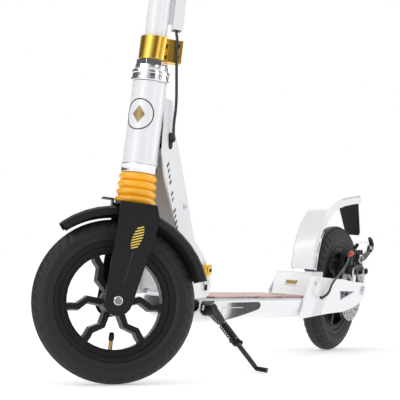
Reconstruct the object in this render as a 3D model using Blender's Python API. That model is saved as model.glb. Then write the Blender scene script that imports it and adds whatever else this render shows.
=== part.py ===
"""Big-wheel kick scooter standing on its side stand, front wheel turned to the right.

Frame of the design: +X forward, +Y to the rider's left, +Z up, ground at z = 0, and the
origin under the rear axle. The whole scooter then leans to the left on its side stand.
The stem frame is a second frame on the steering axis: Z runs up the stem, X forward.
"""
import math

import bmesh
import bpy
from mathutils import Matrix, Vector

# ---------------------------------------------------------------- driving dimensions (metres)
TYRE_RADIUS = 0.145
TYRE_SECTION = 0.0235
TYRE_RING = TYRE_RADIUS - TYRE_SECTION
WHEELBASE_AXIS = 1.0406         # rear axle to the steering axis, at axle height
FORK_OFFSET = 0.0162            # front axle ahead of the steering axis
RAKE = math.radians(7.2)
STEER_ANGLE = math.radians(-54.3)
LEAN = math.radians(4.1)
MIDDLE = (0.50687, 0.06144)    # the whole scooter's middle on the ground, put at the origin

DECK_HALF = 0.060
DECK_REAR_X = 0.300              # rear end of the deck's underside
DECK_END_X = 0.264              # rear end of the deck's top, over a slanted end
DECK_FRONT_X = 0.845
PLATE_TOP_HALF = 0.034          # half width of the frame plates at PLATE_TOP_Z
PLATE_TOP_Z = 0.50
PLATE_FLARE = 0.0739            # sideways growth of the plates per metre downwards
PLATE_T = 0.004
PIVOT = (0.829, 0.1815)         # fold pivot, x and z
LOCK = (0.831, 0.2025)          # axis of the fold lock lever, x and z

AXLE_R = 0.005
REAR_PLATE_OUT = 0.078
REAR_PLATE_FRONT = 0.065

HEAD_R = 0.0315
HEAD_BORE = 0.0275
HEAD_BOTTOM = 0.2525
HEAD_TOP = 0.3945
STEM_R = 0.0205
STEM_BORE = 0.0175
STEM_BOTTOM = 0.2445
STEM_TOP = 0.660
BAR_U = 0.880                   # handlebar height along the stem
BAR_HALF = 0.265
BAR_R = 0.0111
CROWN_TOP = 0.1730
CROWN_BOTTOM = 0.1692
LEG_IN = 0.0500
LEG_OUT = 0.0545
FENDER_R = 0.168
CABLE_R = 0.0026
CABLE_GAP = 0.0006
CABLE_EXIT = (0.2442, 0.1348)   # x and z of the cable's hole in the left rear plate

WHEEL_SEGMENTS = 40
ROUND = 24

# ---------------------------------------------------------------- clean start
for old in list(bpy.data.objects):
    bpy.data.objects.remove(old, do_unlink=True)


# ---------------------------------------------------------------- materials
def material(name, colour, roughness, metallic=0.0):
    mat = bpy.data.materials.new(name)
    mat.use_nodes = True
    shader = mat.node_tree.nodes["Principled BSDF"]
    shader.inputs["Base Color"].default_value = (*colour, 1.0)
    shader.inputs["Roughness"].default_value = roughness
    shader.inputs["Metallic"].default_value = metallic
    return mat


WHITE = material("white_paint", (0.86, 0.87, 0.88), 0.28)
BLACK_PAINT = material("black_paint", (0.02, 0.02, 0.022), 0.42)
BLACK_PLASTIC = material("black_plastic", (0.018, 0.018, 0.02), 0.5)
TYRE_RUBBER = material("tyre_rubber", (0.016, 0.016, 0.017), 0.75)
SOFT_RUBBER = material("soft_rubber", (0.025, 0.025, 0.026), 0.65)
AMBER_RUBBER = material("amber_rubber", (0.90, 0.37, 0.015), 0.38)
GOLD = material("gold_anodised", (0.78, 0.49, 0.10), 0.22, 1.0)
CHROME = material("chrome", (0.80, 0.81, 0.83), 0.08, 1.0)
STEEL = material("bright_steel", (0.62, 0.63, 0.65), 0.25, 1.0)
ROTOR_STEEL = material("rotor_steel", (0.33, 0.34, 0.35), 0.4, 1.0)
BRASS = material("brass", (0.72, 0.47, 0.16), 0.28, 1.0)
WOOD = material("wood_grip", (0.47, 0.33, 0.26), 0.6)
RED = material("red_plastic", (0.62, 0.06, 0.02), 0.4)


# ---------------------------------------------------------------- frames
def empty(name, parent=None, matrix=Matrix.Identity(4)):
    obj = bpy.data.objects.new(name, None)
    bpy.context.scene.collection.objects.link(obj)
    obj.parent = parent
    obj.matrix_basis = matrix
    return obj


def lean_matrix():
    """Lean to the left about the line through both tyre contacts, tyres on the ground."""
    lift = TYRE_SECTION * (1.0 - math.cos(LEAN))
    return Matrix.Translation((-MIDDLE[0], -MIDDLE[1], lift)) @ Matrix.Rotation(-LEAN, 4, "X")


def stem_rotation():
    """Stem frame at rest: raked back, then steered about its own Z."""
    return Matrix.Rotation(-RAKE, 4, "Y") @ Matrix.Rotation(STEER_ANGLE, 4, "Z")


def stem_matrix():
    """Stem frame, at the height that sets the turned front tyre on the ground."""
    turn = stem_rotation()
    to_axle = turn @ Vector((FORK_OFFSET, 0.0, 0.0))
    axle_line = turn @ Vector((0.0, 1.0, 0.0))
    leaned_line = Matrix.Rotation(-LEAN, 4, "X") @ axle_line
    centre_height = TYRE_RING * math.sqrt(1.0 - leaned_line.z ** 2) + TYRE_SECTION
    lift = TYRE_SECTION * (1.0 - math.cos(LEAN))
    axle_z = (centre_height - lift + to_axle.y * math.sin(LEAN)) / math.cos(LEAN)
    origin = Vector((WHEELBASE_AXIS, 0.0, axle_z - to_axle.z))
    return Matrix.Translation(origin) @ turn


SCOOTER = empty("scooter_frame", None, lean_matrix())
FOLD = empty("fold_pivot_frame", SCOOTER, Matrix.Translation((PIVOT[0], 0.0, PIVOT[1])))
STEM = empty("stem_frame", FOLD, FOLD.matrix_basis.inverted() @ stem_matrix())
REAR_AXLE = empty("rear_axle_frame", SCOOTER, Matrix.Translation((0.0, 0.0, TYRE_RADIUS)))
FRONT_AXLE = empty("front_axle_frame", STEM, Matrix.Translation((FORK_OFFSET, 0.0, 0.0)))
ALONG_Y = Matrix.Rotation(-math.pi / 2, 4, "X")    # turns a shape's Z axis to +Y


# ---------------------------------------------------------------- mesh helpers
def solid(name, verts, faces, mat, parent=SCOOTER, matrix=Matrix.Identity(4), smooth=True):
    """Make one closed mesh object with its faces pointing out."""
    mesh = bpy.data.meshes.new(name)
    mesh.from_pydata([tuple(v) for v in verts], [], faces)
    work = bmesh.new()
    work.from_mesh(mesh)
    bmesh.ops.remove_doubles(work, verts=work.verts, dist=1e-6)
    bmesh.ops.recalc_face_normals(work, faces=work.faces)
    work.to_mesh(mesh)
    work.free()
    if smooth:
        mesh.shade_smooth()
        mesh.set_sharp_from_angle(angle=math.radians(35))
    mesh.materials.append(mat)
    obj = bpy.data.objects.new(name, mesh)
    bpy.context.scene.collection.objects.link(obj)
    obj.parent = parent
    obj.matrix_basis = matrix
    return obj


def ring_shape(profile, segments=ROUND):
    """Turn a closed profile of (radius, height) points round Z."""
    verts = []
    faces = []
    count = len(profile)
    for s in range(segments):
        angle = 2.0 * math.pi * s / segments
        for radius, height in profile:
            verts.append((radius * math.cos(angle), radius * math.sin(angle), height))
    for s in range(segments):
        here = s * count
        after = ((s + 1) % segments) * count
        for p in range(count):
            q = (p + 1) % count
            faces.append((here + p, after + p, after + q, here + q))
    return verts, faces


def turned_shape(profile, segments=ROUND):
    """Turn an open profile whose two ends lie on the axis: the ends become flat caps."""
    verts = []
    faces = []
    rim = [(r, h) for r, h in profile if r > 0.0]
    count = len(rim)
    for s in range(segments):
        angle = 2.0 * math.pi * s / segments
        for radius, height in rim:
            verts.append((radius * math.cos(angle), radius * math.sin(angle), height))
    for s in range(segments):
        here = s * count
        after = ((s + 1) % segments) * count
        for p in range(count - 1):
            faces.append((here + p, after + p, after + p + 1, here + p + 1))
    faces.append([s * count for s in range(segments)])
    faces.append([s * count + count - 1 for s in range(segments)])
    return verts, faces


def prism_shape(outline, low, high, plane="XZ"):
    """Push a flat outline through from low to high along the plane's normal."""
    place = {
        "XZ": lambda a, b, d: (a, d, b),
        "XY": lambda a, b, d: (a, b, d),
        "YZ": lambda a, b, d: (d, a, b),
    }[plane]
    count = len(outline)
    verts = [place(a, b, low) for a, b in outline] + [place(a, b, high) for a, b in outline]
    faces = [list(range(count)), list(range(count, 2 * count))]
    for p in range(count):
        q = (p + 1) % count
        faces.append((p, q, q + count, p + count))
    return verts, faces


def box_shape(low, high):
    outline = [(low[0], low[2]), (high[0], low[2]), (high[0], high[2]), (low[0], high[2])]
    return prism_shape(outline, low[1], high[1])


def loft_shape(rings, closed_ends=True):
    """Join rings of equal length into a skin, capped at both ends."""
    count = len(rings[0])
    verts = [v for ring in rings for v in ring]
    faces = []
    for k in range(len(rings) - 1):
        for p in range(count):
            q = (p + 1) % count
            faces.append((k * count + p, k * count + q, (k + 1) * count + q, (k + 1) * count + p))
    if closed_ends:
        faces.append(list(range(count)))
        faces.append(list(range((len(rings) - 1) * count, len(rings) * count)))
    return verts, faces


def sweep_shape(points, radii, sides=10):
    """A round bar along a path, with a radius at each point."""
    points = [Vector(p) for p in points]
    rings = []
    side = None
    for k, point in enumerate(points):
        ahead = points[min(k + 1, len(points) - 1)] - points[max(k - 1, 0)]
        ahead.normalize()
        if side is None:
            side = ahead.orthogonal().normalized()
        side = (side - ahead * side.dot(ahead)).normalized()
        other = ahead.cross(side)
        ring = []
        for s in range(sides):
            angle = 2.0 * math.pi * s / sides
            ring.append(point + radii[k] * (math.cos(angle) * side + math.sin(angle) * other))
        rings.append(ring)
    return loft_shape(rings)


def arc(centre, radius, start, end, steps):
    """Points on a circle from start to end, in degrees."""
    return [
        (
            centre[0] + radius * math.cos(math.radians(start + (end - start) * k / steps)),
            centre[1] + radius * math.sin(math.radians(start + (end - start) * k / steps)),
        )
        for k in range(steps + 1)
    ]


def smooth_route(points, step):
    """Catmull-Rom curve through a route's points, with a point about every step."""
    pts = [Vector(p) for p in points]
    pts = [2 * pts[0] - pts[1]] + pts + [2 * pts[-1] - pts[-2]]
    route = []
    for k in range(1, len(pts) - 2):
        a, b, c, d = pts[k - 1], pts[k], pts[k + 1], pts[k + 2]
        pieces = max(1, round((c - b).length / step))
        for s in range(pieces):
            t = s / pieces
            route.append(
                0.5 * (2 * b + (c - a) * t + (2 * a - 5 * b + 4 * c - d) * t ** 2
                       + (3 * b - a - 3 * c + d) * t ** 3)
            )
    route.append(pts[-2])
    return route


def cable(name, points, parent=SCOOTER, step=0.016):
    """A round cable along a smooth route."""
    route = smooth_route(points, step)
    return solid(name, *sweep_shape(route, [CABLE_R] * len(route), 8), BLACK_PLASTIC, parent)


def helper(shape, parent=SCOOTER, matrix=Matrix.Identity(4)):
    """A solid used only to join to or cut from another."""
    obj = solid("guide", *shape, WHITE, parent, matrix)
    obj.hide_render = True
    obj.display_type = "WIRE"
    return obj


def combine(obj, others, operation):
    for other in others:
        step = obj.modifiers.new(operation.lower(), "BOOLEAN")
        step.operation = operation
        step.solver = "EXACT"
        step.object = other


def axle_cutter(x, z, radius, low, high, parent=SCOOTER):
    shape = turned_shape([(0, low), (radius, low), (radius, high), (0, high)], 16)
    return helper(shape, parent, Matrix.Translation((x, 0.0, z)) @ ALONG_Y)


# ---------------------------------------------------------------- deck
def deck_top(x):
    return 0.1360 + (x - 0.3456) * 0.0265


def deck_bottom(x):
    """Underside, nearly level, curving up over the last stretch before the front end."""
    nose = 0.045
    rise = 0.022
    into = max(0.0, (x - (DECK_FRONT_X - nose)) / nose)
    return 0.0932 + (x - 0.338) * 0.0159 + rise * (1.0 - math.sqrt(1.0 - min(into, 0.98) ** 2))


def deck_section(x, inset):
    """Cross-section of the deck shell: flat top, upright sides, rounded under."""
    half = DECK_HALF - inset
    top = deck_top(x) - inset
    low = deck_bottom(x) + inset
    side = [(half - 0.004, top), (half, top - 0.004), (half, low + 0.55 * (top - low))]
    for k in range(1, 5):
        turn = math.radians(90.0 * k / 5)
        side.append((half - 0.022 * (1 - math.cos(turn)),
                     low + 0.55 * (top - low) * (1 - math.sin(turn))))
    side.append((half - 0.022, low))
    mirrored = [(-y, z) for y, z in reversed(side)]
    return [(x, y, z) for y, z in side + mirrored]


def slant_end(section):
    """The rear end's section, sloped back from the underside to the top."""
    low = deck_bottom(DECK_REAR_X)
    height = deck_top(DECK_REAR_X) - low
    fall = deck_top(DECK_REAR_X) - deck_top(DECK_END_X)
    sloped = []
    for x, y, z in section:
        share = (z - low) / height
        sloped.append((x + share * (DECK_END_X - DECK_REAR_X), y, z - share * fall))
    return sloped


def make_deck():
    wall = 0.0025
    stations = [DECK_REAR_X, 0.50, 0.70, 0.80, 0.815, 0.829, 0.838, DECK_FRONT_X]
    outer = [deck_section(x, 0.0) for x in stations]
    inner = [deck_section(x, wall) for x in reversed(stations)]
    outer[0] = slant_end(outer[0])
    inner[-1] = slant_end(inner[-1])
    rings = outer + inner + [outer[0]]
    solid("deck_shell", *loft_shape(rings, closed_ends=False), WHITE)

    grip_gap = 0.0003
    grip_t = 0.003
    rings = []
    for x, half in ((0.2665, 0.053), (0.40, 0.054), (0.66, 0.054), (0.75, 0.053), (0.778, 0.048)):
        low = deck_top(x) + grip_gap
        rings.append([(x, half, low), (x, half - 0.001, low + grip_t),
                      (x, -half + 0.001, low + grip_t), (x, -half, low)])
    solid("deck_grip", *loft_shape(rings), WOOD, smooth=False)


def make_knuckle():
    """Fixed half of the fold: a saddle on the deck with two cheeks round the pivot bolt."""
    base = deck_top(0.85) + 0.0004
    rear = deck_top(0.80) + 0.0008
    outline = [(0.799, base + 0.0002), (0.850, base + 0.0002), (0.8525, base + 0.006)]
    outline += arc(PIVOT, 0.0235, 0, 180, 8)
    outline.append((0.799, rear + 0.006))
    knuckle = solid("deck_knuckle", *prism_shape(outline, -0.0495, 0.0495), STEEL)
    slot = helper(box_shape((0.79, -0.0435, base + 0.005), (0.86, 0.0435, 0.25)))
    bolt_hole = axle_cutter(*PIVOT, 0.0056, -0.07, 0.07)
    combine(knuckle, [slot, bolt_hole], "DIFFERENCE")


def make_rear_box():
    """Raised mount between deck and mudguard: a pressed cover on a flat foot, open underneath."""
    wall = 0.003
    half = 0.0425
    back = 0.1690
    foot = deck_top(DECK_END_X) + 0.0006
    outline = [(0.2600, foot), (0.2400, 0.1865), (0.2370, 0.1885), (back + 0.003, 0.1885),
               (back, 0.1865), (back, foot)]
    inner = [(0.2560, 0.10), (0.2560, foot + 0.002), (0.2366, 0.1855), (back + wall, 0.1855),
             (back + wall, 0.10)]
    cover = solid("rear_box", *prism_shape(outline, -half, half), WHITE)
    base = helper(box_shape((back, -0.0600, foot), (DECK_END_X - 0.0002, 0.0520, foot + 0.002)))
    hollow = helper(prism_shape(inner, -half + wall, half - wall))
    combine(cover, [base], "UNION")
    combine(cover, [hollow], "DIFFERENCE")


def rear_plate_shape(side):
    """Side plate from the deck to the rear axle, set out sideways behind a slanting bend."""
    # stations of (top x, top z, bottom x, bottom z, outer y)
    step = REAR_PLATE_OUT - REAR_PLATE_FRONT
    stations = [
        (0.300, 0.1830, 0.352, 0.0975, REAR_PLATE_FRONT),
        (0.262, 0.1820, 0.330, 0.0925, REAR_PLATE_FRONT),
        (0.218, 0.1780, 0.285, 0.0940, REAR_PLATE_FRONT),
        (0.194, 0.1767, 0.262, 0.0985, REAR_PLATE_FRONT + step),
        (0.1300, 0.1735, 0.1900, 0.1000, REAR_PLATE_OUT),
        (0.0900, 0.1690, 0.1300, 0.1000, REAR_PLATE_OUT),
        (0.0400, 0.1650, 0.0600, 0.1065, REAR_PLATE_OUT),
        (0.0000, 0.1635, 0.0050, 0.1180, REAR_PLATE_OUT),
        (-0.0180, 0.1590, -0.0180, 0.1300, REAR_PLATE_OUT),
    ]
    rings = []
    for top_x, top_z, low_x, low_z, out in stations:
        rings.append([
            (top_x, side * out, top_z),
            (low_x, side * out, low_z),
            (low_x, side * (out - PLATE_T), low_z),
            (top_x, side * (out - PLATE_T), top_z),
        ])
    return loft_shape(rings)


def make_rear_plates():
    window = [(0.148, 0.1475), (0.052, 0.1440), (0.144, 0.1265)]
    for name, side in (("rear_plate_left", 1), ("rear_plate_right", -1)):
        plate = solid(name, *rear_plate_shape(side), WHITE, smooth=False)
        cuts = [helper(prism_shape(window, -0.1, 0.1)),
                axle_cutter(0.0, TYRE_RADIUS, 0.0056, -0.1, 0.1)]
        if side > 0:
            cuts.append(axle_cutter(*CABLE_EXIT, CABLE_R + 0.0016, 0.05, 0.1))
            combine(plate, caliper_tabs(), "UNION")
        combine(plate, cuts, "DIFFERENCE")


def caliper_tabs():
    """Two upright lugs on the left plate that carry the brake caliper."""
    tabs = []
    for x in (0.0580, -0.0120):
        outline = [(x - 0.007, 0.150), (x + 0.007, 0.150), (x + 0.007, 0.188)]
        outline += arc((x, 0.190), 0.007, 0, 180, 6)
        low = REAR_PLATE_OUT - PLATE_T
        tabs.append(helper(prism_shape(outline, low, REAR_PLATE_OUT)))
    return tabs


def make_rear_axle():
    profile = [(0, -0.0840), (0.006, -0.0840), (0.0095, -0.0815), (0.0095, -0.0785),
               (AXLE_R, -0.0785), (AXLE_R, -0.0732), (0.0085, -0.0732), (0.0085, -0.0410),
               (AXLE_R, -0.0410), (AXLE_R, 0.0535), (0.0085, 0.0535), (0.0085, 0.0732),
               (AXLE_R, 0.0732), (AXLE_R, 0.0785), (0.0095, 0.0785), (0.0095, 0.0815),
               (0.006, 0.0840), (0, 0.0840)]
    solid("rear_axle", *turned_shape(profile), STEEL, REAR_AXLE, ALONG_Y)


FENDER_LINE = [(0.1935, 0.1925), (0.1900, 0.2150), (0.1830, 0.2400), (0.1710, 0.2680),
               (0.1520, 0.2950), (0.1260, 0.3200), (0.0950, 0.3380), (0.0600, 0.3500),
               (0.0200, 0.3570), (-0.0350, 0.3625), (-0.0900, 0.3665)]


def make_rear_fender():
    """Folded mudguard: a web along a curve, with a side flange each way, slotted low down."""
    half = 0.0285
    sheet = 0.002
    depth = 0.019
    rings = []
    last = len(FENDER_LINE) - 1
    for k, (x, z) in enumerate(FENDER_LINE):
        before = Vector(FENDER_LINE[max(k - 1, 0)])
        after = Vector(FENDER_LINE[min(k + 1, last)])
        along = (after - before).normalized()
        inward = Vector((along.y, -along.x)) * -1.0

        def at(y, down):
            return (x + inward.x * down, y, z + inward.y * down)

        rings.append([at(half - 0.004, 0), at(half, 0.004), at(half, depth), at(half - sheet, depth),
                      at(half - sheet, 0.0045), at(half - 0.0045, sheet),
                      at(-half + 0.0045, sheet), at(-half + sheet, 0.0045),
                      at(-half + sheet, depth), at(-half, depth), at(-half, 0.004),
                      at(-half + 0.004, 0)])
    fender = solid("rear_fender", *loft_shape(rings), WHITE)
    cutters = []
    for first, second in (((0.1815, 0.1990), (0.1790, 0.2180)), ((0.1735, 0.2320), (0.1640, 0.2520)),
                          ((0.1570, 0.2640), (0.1330, 0.2930))):
        cutters.append(helper(slot_shape(first, second, 0.0035)))
    combine(fender, cutters, "DIFFERENCE")


def slot_shape(first, second, radius):
    """A prism across Y with the outline of a slot between two points."""
    a = Vector(first)
    b = Vector(second)
    heading = math.degrees(math.atan2((b - a).y, (b - a).x))
    outline = arc(b, radius, heading - 90, heading + 90, 4)
    outline += arc(a, radius, heading + 90, heading + 270, 4)
    return prism_shape(outline, -0.05, 0.05)


def make_mudflap():
    top = [(-0.0830, 0.0255), (-0.0855, 0.0255), (-0.0855, -0.0255), (-0.0830, -0.0255)]
    low = [(-0.1230, 0.0190), (-0.1255, 0.0190), (-0.1255, -0.0190), (-0.1230, -0.0190)]
    rings = [[(x, y, 0.3600) for x, y in top], [(x + 0.0005, y, 0.342) for x, y in top],
             [(x, y, 0.277) for x, y in low], [(x - 0.002, y * 0.8, 0.270) for x, y in low]]
    solid("mudflap", *loft_shape(rings), SOFT_RUBBER, smooth=False)


def make_caliper():
    rotor_slot = helper(box_shape((-0.08, 0.0490, 0.15), (0.12, 0.0540, 0.222)))
    outline = [(-0.026, 0.182), (0.048, 0.182), (0.056, 0.200), (0.050, 0.228), (0.034, 0.238),
               (-0.010, 0.238), (-0.026, 0.224)]
    body = solid("caliper_body", *prism_shape(outline, 0.0375, 0.0655), BLACK_PAINT)
    ears = helper(prism_shape(
        [(-0.0195, 0.1830), (-0.0045, 0.1830), (-0.0045, 0.190), (0.0500, 0.190), (0.0505, 0.1830),
         (0.0655, 0.1830), (0.0655, 0.1970), (0.040, 0.2040), (-0.004, 0.2040), (-0.0195, 0.1970)],
        0.0640, 0.0725))
    combine(body, [ears], "UNION")
    pad_room = helper(box_shape((-0.012, 0.0405, 0.17), (0.034, 0.0625, 0.2150)))
    combine(body, [rotor_slot, pad_room], "DIFFERENCE")
    for name, low, high in (("brake_pad_inner", 0.0410, 0.0494), ("brake_pad_outer", 0.0536, 0.0620)):
        pad = [(-0.010, 0.191), (0.032, 0.191), (0.032, 0.207), (0.026, 0.2135), (-0.004, 0.2135),
               (-0.010, 0.207)]
        solid(name, *prism_shape(pad, low, high), BLACK_PLASTIC)
    for name, x in (("caliper_screw_front", 0.0580), ("caliper_screw_rear", -0.0120)):
        profile = [(0, 0.0783), (0.0060, 0.0783), (0.0060, 0.0825), (0.0045, 0.0838), (0, 0.0838)]
        solid(name, *turned_shape(profile, 12), BLACK_PAINT, SCOOTER,
              Matrix.Translation((x, 0.0, 0.190)) @ ALONG_Y)
    # barrel that the cable housing seats in, in line with the cable
    barrel = [(0, 0), (0.0035, 0), (0.0062, 0.002), (0.0062, 0.012), (0.0040, 0.014), (0.0040, 0.020),
              (0, 0.020)]
    place = Matrix.Translation((0.0620, 0.0690, 0.2340)) @ Matrix.Rotation(math.radians(118), 4, "Y")
    solid("adjuster_barrel", *turned_shape(barrel, 14), RED, SCOOTER, place)


ARM_AXIS = (0.012, 0.2180)


def make_caliper_arm():
    outline = arc(ARM_AXIS, 0.0125, 50, 265, 8)
    outline += [(-0.028, 0.2160), (-0.056, 0.2280), (-0.066, 0.2420), (-0.060, 0.2520),
                (-0.050, 0.2490), (-0.046, 0.2380), (-0.024, 0.2310)]
    solid("caliper_arm", *prism_shape(outline, 0.0662, 0.0712), BLACK_PAINT)


# ---------------------------------------------------------------- wheels
def tyre_profile():
    """C-shaped section, open at the bead."""
    shell = 0.0030
    outer = arc((TYRE_RING, 0.0), TYRE_SECTION, -126, 126, 10)
    inner = arc((TYRE_RING, 0.0), TYRE_SECTION - shell, 126, -126, 5)
    return outer + inner


RIM_HALF_PROFILE = [(0.1072, 0.0182), (0.1072, 0.0166), (0.1010, 0.0150)]
RIM_INNER_PROFILE = [(0.0975, 0.0178), (0.0962, 0.0150), (0.0875, 0.0140), (0.0845, 0.0158)]


def rim_profile():
    well = RIM_HALF_PROFILE + [(r, -y) for r, y in reversed(RIM_HALF_PROFILE)]
    inside = [(r, -y) for r, y in RIM_INNER_PROFILE] + list(reversed(RIM_INNER_PROFILE))
    return well + inside


def spoke_shape(centre_angle, mirror):
    """One stepped bar from the hub to the rim: narrow outer face, wide inner face."""
    line = [(0.0150, 0.0060), (0.0385, 0.0262), (0.0600, 0.0236), (0.0700, 0.0300), (0.0868, 0.0372)]
    rings = []
    turn = Matrix.Rotation(-math.radians(centre_angle), 2)
    last = len(line) - 1
    for k, (a, b) in enumerate(line):
        before = Vector(line[max(k - 1, 0)])
        after = Vector(line[min(k + 1, last)])
        along = (after - before).normalized()
        across = Vector((-along.y, along.x))
        ring = []
        for half, depth in ((-0.0054, 0.0150), (0.0054, 0.0150), (0.0076, -0.0150), (-0.0076, -0.0150)):
            flat = Vector((a, b)) + across * half
            flat = turn @ Vector((flat.x, -mirror * flat.y))
            ring.append((flat.x, flat.y, depth))
        rings.append(ring)
    return loft_shape(rings)


def make_wheel(prefix, parent, hub_right, hub_left, phase):
    rim = solid(prefix + "_rim", *ring_shape(rim_profile(), WHEEL_SEGMENTS), BLACK_PAINT, parent, ALONG_Y)
    hub_bore = 0.0133
    hub = [(hub_bore, hub_right), (0.0215, hub_right), (0.0245, -0.020), (0.0245, 0.020),
           (0.0215, hub_left), (hub_bore, hub_left)]
    joined = [helper(ring_shape(hub), parent, ALONG_Y)]
    for k in range(3):
        for mirror in (-1, 1):
            joined.append(helper(spoke_shape(phase + 120 * k, mirror), parent, ALONG_Y))
    combine(rim, joined, "UNION")
    solid(prefix + "_tyre", *ring_shape(tyre_profile(), WHEEL_SEGMENTS), TYRE_RUBBER, parent, ALONG_Y)
    tube = arc((0.1187, 0.0), 0.0160, 0, 315, 7)
    solid(prefix + "_inner_tube", *ring_shape(tube, 32), SOFT_RUBBER, parent, ALONG_Y)
    width = 0.010
    for side, low in (("right", hub_right + 0.0005), ("left", hub_left - 0.0005 - width)):
        race = [(0.0056, low), (0.0129, low), (0.0129, low + width), (0.0056, low + width)]
        solid(prefix + "_bearing_" + side, *ring_shape(race, 20), STEEL, parent, ALONG_Y)


def make_valve():
    """Front tyre valve, standing in from the rim between two spoke pairs."""
    stem = [(0, 0), (0.0032, 0), (0.0032, 0.0170), (0.0040, 0.0175), (0.0052, 0.0195), (0.0052, 0.0300),
            (0.0036, 0.0330), (0, 0.0330)]
    angle = math.radians(-96)
    foot = 0.0828
    place = (Matrix.Translation((foot * math.cos(angle), 0.0, foot * math.sin(angle)))
             @ Matrix.Rotation(-angle - math.pi / 2, 4, "Y") @ Matrix.Rotation(math.radians(10), 4, "X"))
    solid("front_valve", *turned_shape(stem, 12), BRASS, FRONT_AXLE, place)


def make_rotor():
    disc = [(0.0120, 0.0503), (0.0725, 0.0503), (0.0725, 0.0523), (0.0120, 0.0523)]
    solid("brake_rotor", *ring_shape(disc, 40), ROTOR_STEEL, REAR_AXLE, ALONG_Y)


# ---------------------------------------------------------------- folding front frame
def plate_y(z):
    return PLATE_TOP_HALF + (PLATE_TOP_Z - z) * PLATE_FLARE


FRONT_EDGE = [(0.9890, 0.5100), (0.9925, 0.4630), (1.0000, 0.4128), (0.9925, 0.3700),
              (0.9737, 0.3326), (0.9556, 0.2952), (0.9300, 0.2640), (0.9030, 0.2380),
              (0.8860, 0.2000), (0.8790, 0.1505)]
REAR_EDGE = [(0.8010, 0.1900), (0.8160, 0.2140), (0.8340, 0.2320), (0.8690, 0.2560), (0.8850, 0.2900),
             (0.9016, 0.3342), (0.9301, 0.4057), (0.9500, 0.4487), (0.9600, 0.5060)]


def frame_plate_shape(side):
    """Side plate of the front frame, flaring from the head tube to the deck's width."""
    outline = FRONT_EDGE + [(PIVOT[0], PIVOT[1] - 0.0312)]
    outline += arc(PIVOT, 0.0312, 255, 180, 4) + REAR_EDGE
    verts = [(x, side * plate_y(z), z) for x, z in outline]
    verts += [(x, side * (plate_y(z) - PLATE_T), z) for x, z in outline]
    count = len(outline)
    faces = [list(range(count)), list(range(count, 2 * count))]
    for p in range(count):
        q = (p + 1) % count
        faces.append((p, q, q + count, p + count))
    return verts, faces


def web_shape(line, thickness):
    """A plate across the frame along a line of (x, z) points, as wide as the side plates."""
    rings = []
    last = len(line) - 1
    for k, (x, z) in enumerate(line):
        along = (Vector(line[min(k + 1, last)]) - Vector(line[max(k - 1, 0)])).normalized()
        off = Vector((-along.y, along.x)) * thickness / 2
        half = plate_y(z) - PLATE_T / 2
        rings.append([(x + off.x, half, z + off.y), (x - off.x, half, z - off.y),
                      (x - off.x, -half, z - off.y), (x + off.x, -half, z + off.y)])
    return loft_shape(rings)


def make_front_frame():
    tube = [(HEAD_BORE, HEAD_BOTTOM), (HEAD_R, HEAD_BOTTOM), (HEAD_R, HEAD_TOP), (HEAD_BORE, HEAD_TOP)]
    frame = solid("front_frame", *ring_shape(tube, 32), WHITE, STEM)
    front_web = [(0.9720, 0.4200), (0.9500, 0.4080), (0.9400, 0.3700), (0.9200, 0.3180),
                 (0.9020, 0.2800), (0.8870, 0.2450), (0.8760, 0.2100), (0.8700, 0.1620)]
    rear_web = [(0.9640, 0.4950), (0.9555, 0.4560), (0.9345, 0.4057), (0.9060, 0.3342), (0.8890, 0.2900)]
    joined = [helper(frame_plate_shape(side)) for side in (1, -1)]
    joined += [helper(web_shape(front_web, 0.003)), helper(web_shape(rear_web, 0.003))]
    combine(frame, joined, "UNION")
    cable_hole = helper(grommet_shape(0.0064, 0.0004, 0.020, 0.060))
    combine(frame, [axle_cutter(*PIVOT, 0.0056, -0.08, 0.08), cable_hole], "DIFFERENCE")


GROMMET = (0.9722, 0.4340)


def grommet_shape(half_width, gap, low, high):
    """Upright oval prism across the left frame plate."""
    x, z = GROMMET
    radius = half_width + gap
    outline = arc((x, z + 0.0085), radius, 0, 180, 6) + arc((x, z - 0.0085), radius, 180, 360, 6)
    return prism_shape(outline, low, high)


def make_frame_fittings():
    y = plate_y(GROMMET[1])
    solid("cable_grommet", *grommet_shape(0.0064, 0.0, y - 0.006, y + 0.0025), SOFT_RUBBER)
    bolt = [(0, -0.0640), (0.0050, -0.0640), (0.0076, -0.0620), (0.0076, -0.0584), (0.0052, -0.0584),
            (0.0052, 0.0584), (0.0076, 0.0584), (0.0076, 0.0620), (0.0050, 0.0640), (0, 0.0640)]
    solid("fold_pivot_bolt", *turned_shape(bolt, 16), STEEL, SCOOTER,
          Matrix.Translation((PIVOT[0], 0.0, PIVOT[1])) @ ALONG_Y)
    upper = [(0.0213, 0.3950), (0.0335, 0.3950), (0.0352, 0.3975), (0.0352, 0.4040), (0.0330, 0.4060),
             (0.0318, 0.4110), (0.0352, 0.4150), (0.0345, 0.4180), (0.0290, 0.4240), (0.0213, 0.4240)]
    solid("upper_headset_cup", *ring_shape(upper, 32), CHROME, STEM)
    lower = [(0.0213, 0.2410), (0.0300, 0.2410), (0.0328, 0.2430), (0.0328, 0.2470), (0.0310, 0.2490),
             (0.0322, 0.2520), (0.0213, 0.2520)]
    solid("lower_headset_cup", *ring_shape(lower, 32), CHROME, STEM)


def make_fold_lever():
    """Lock lever of the fold: a cam knob on the left frame plate."""
    x, z = LOCK
    low = plate_y(z - 0.02) + 0.0006
    outline = [(x - 0.004, z - 0.0115), (x + 0.004, z - 0.0115), (x + 0.0120, z + 0.0010),
               (x + 0.0130, z + 0.0080), (x + 0.0100, z + 0.0110), (x - 0.0110, z + 0.0110),
               (x - 0.0130, z + 0.0070), (x - 0.0110, z + 0.0000)]
    solid("fold_lever", *prism_shape(outline, low, low + 0.009), GOLD)


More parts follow.
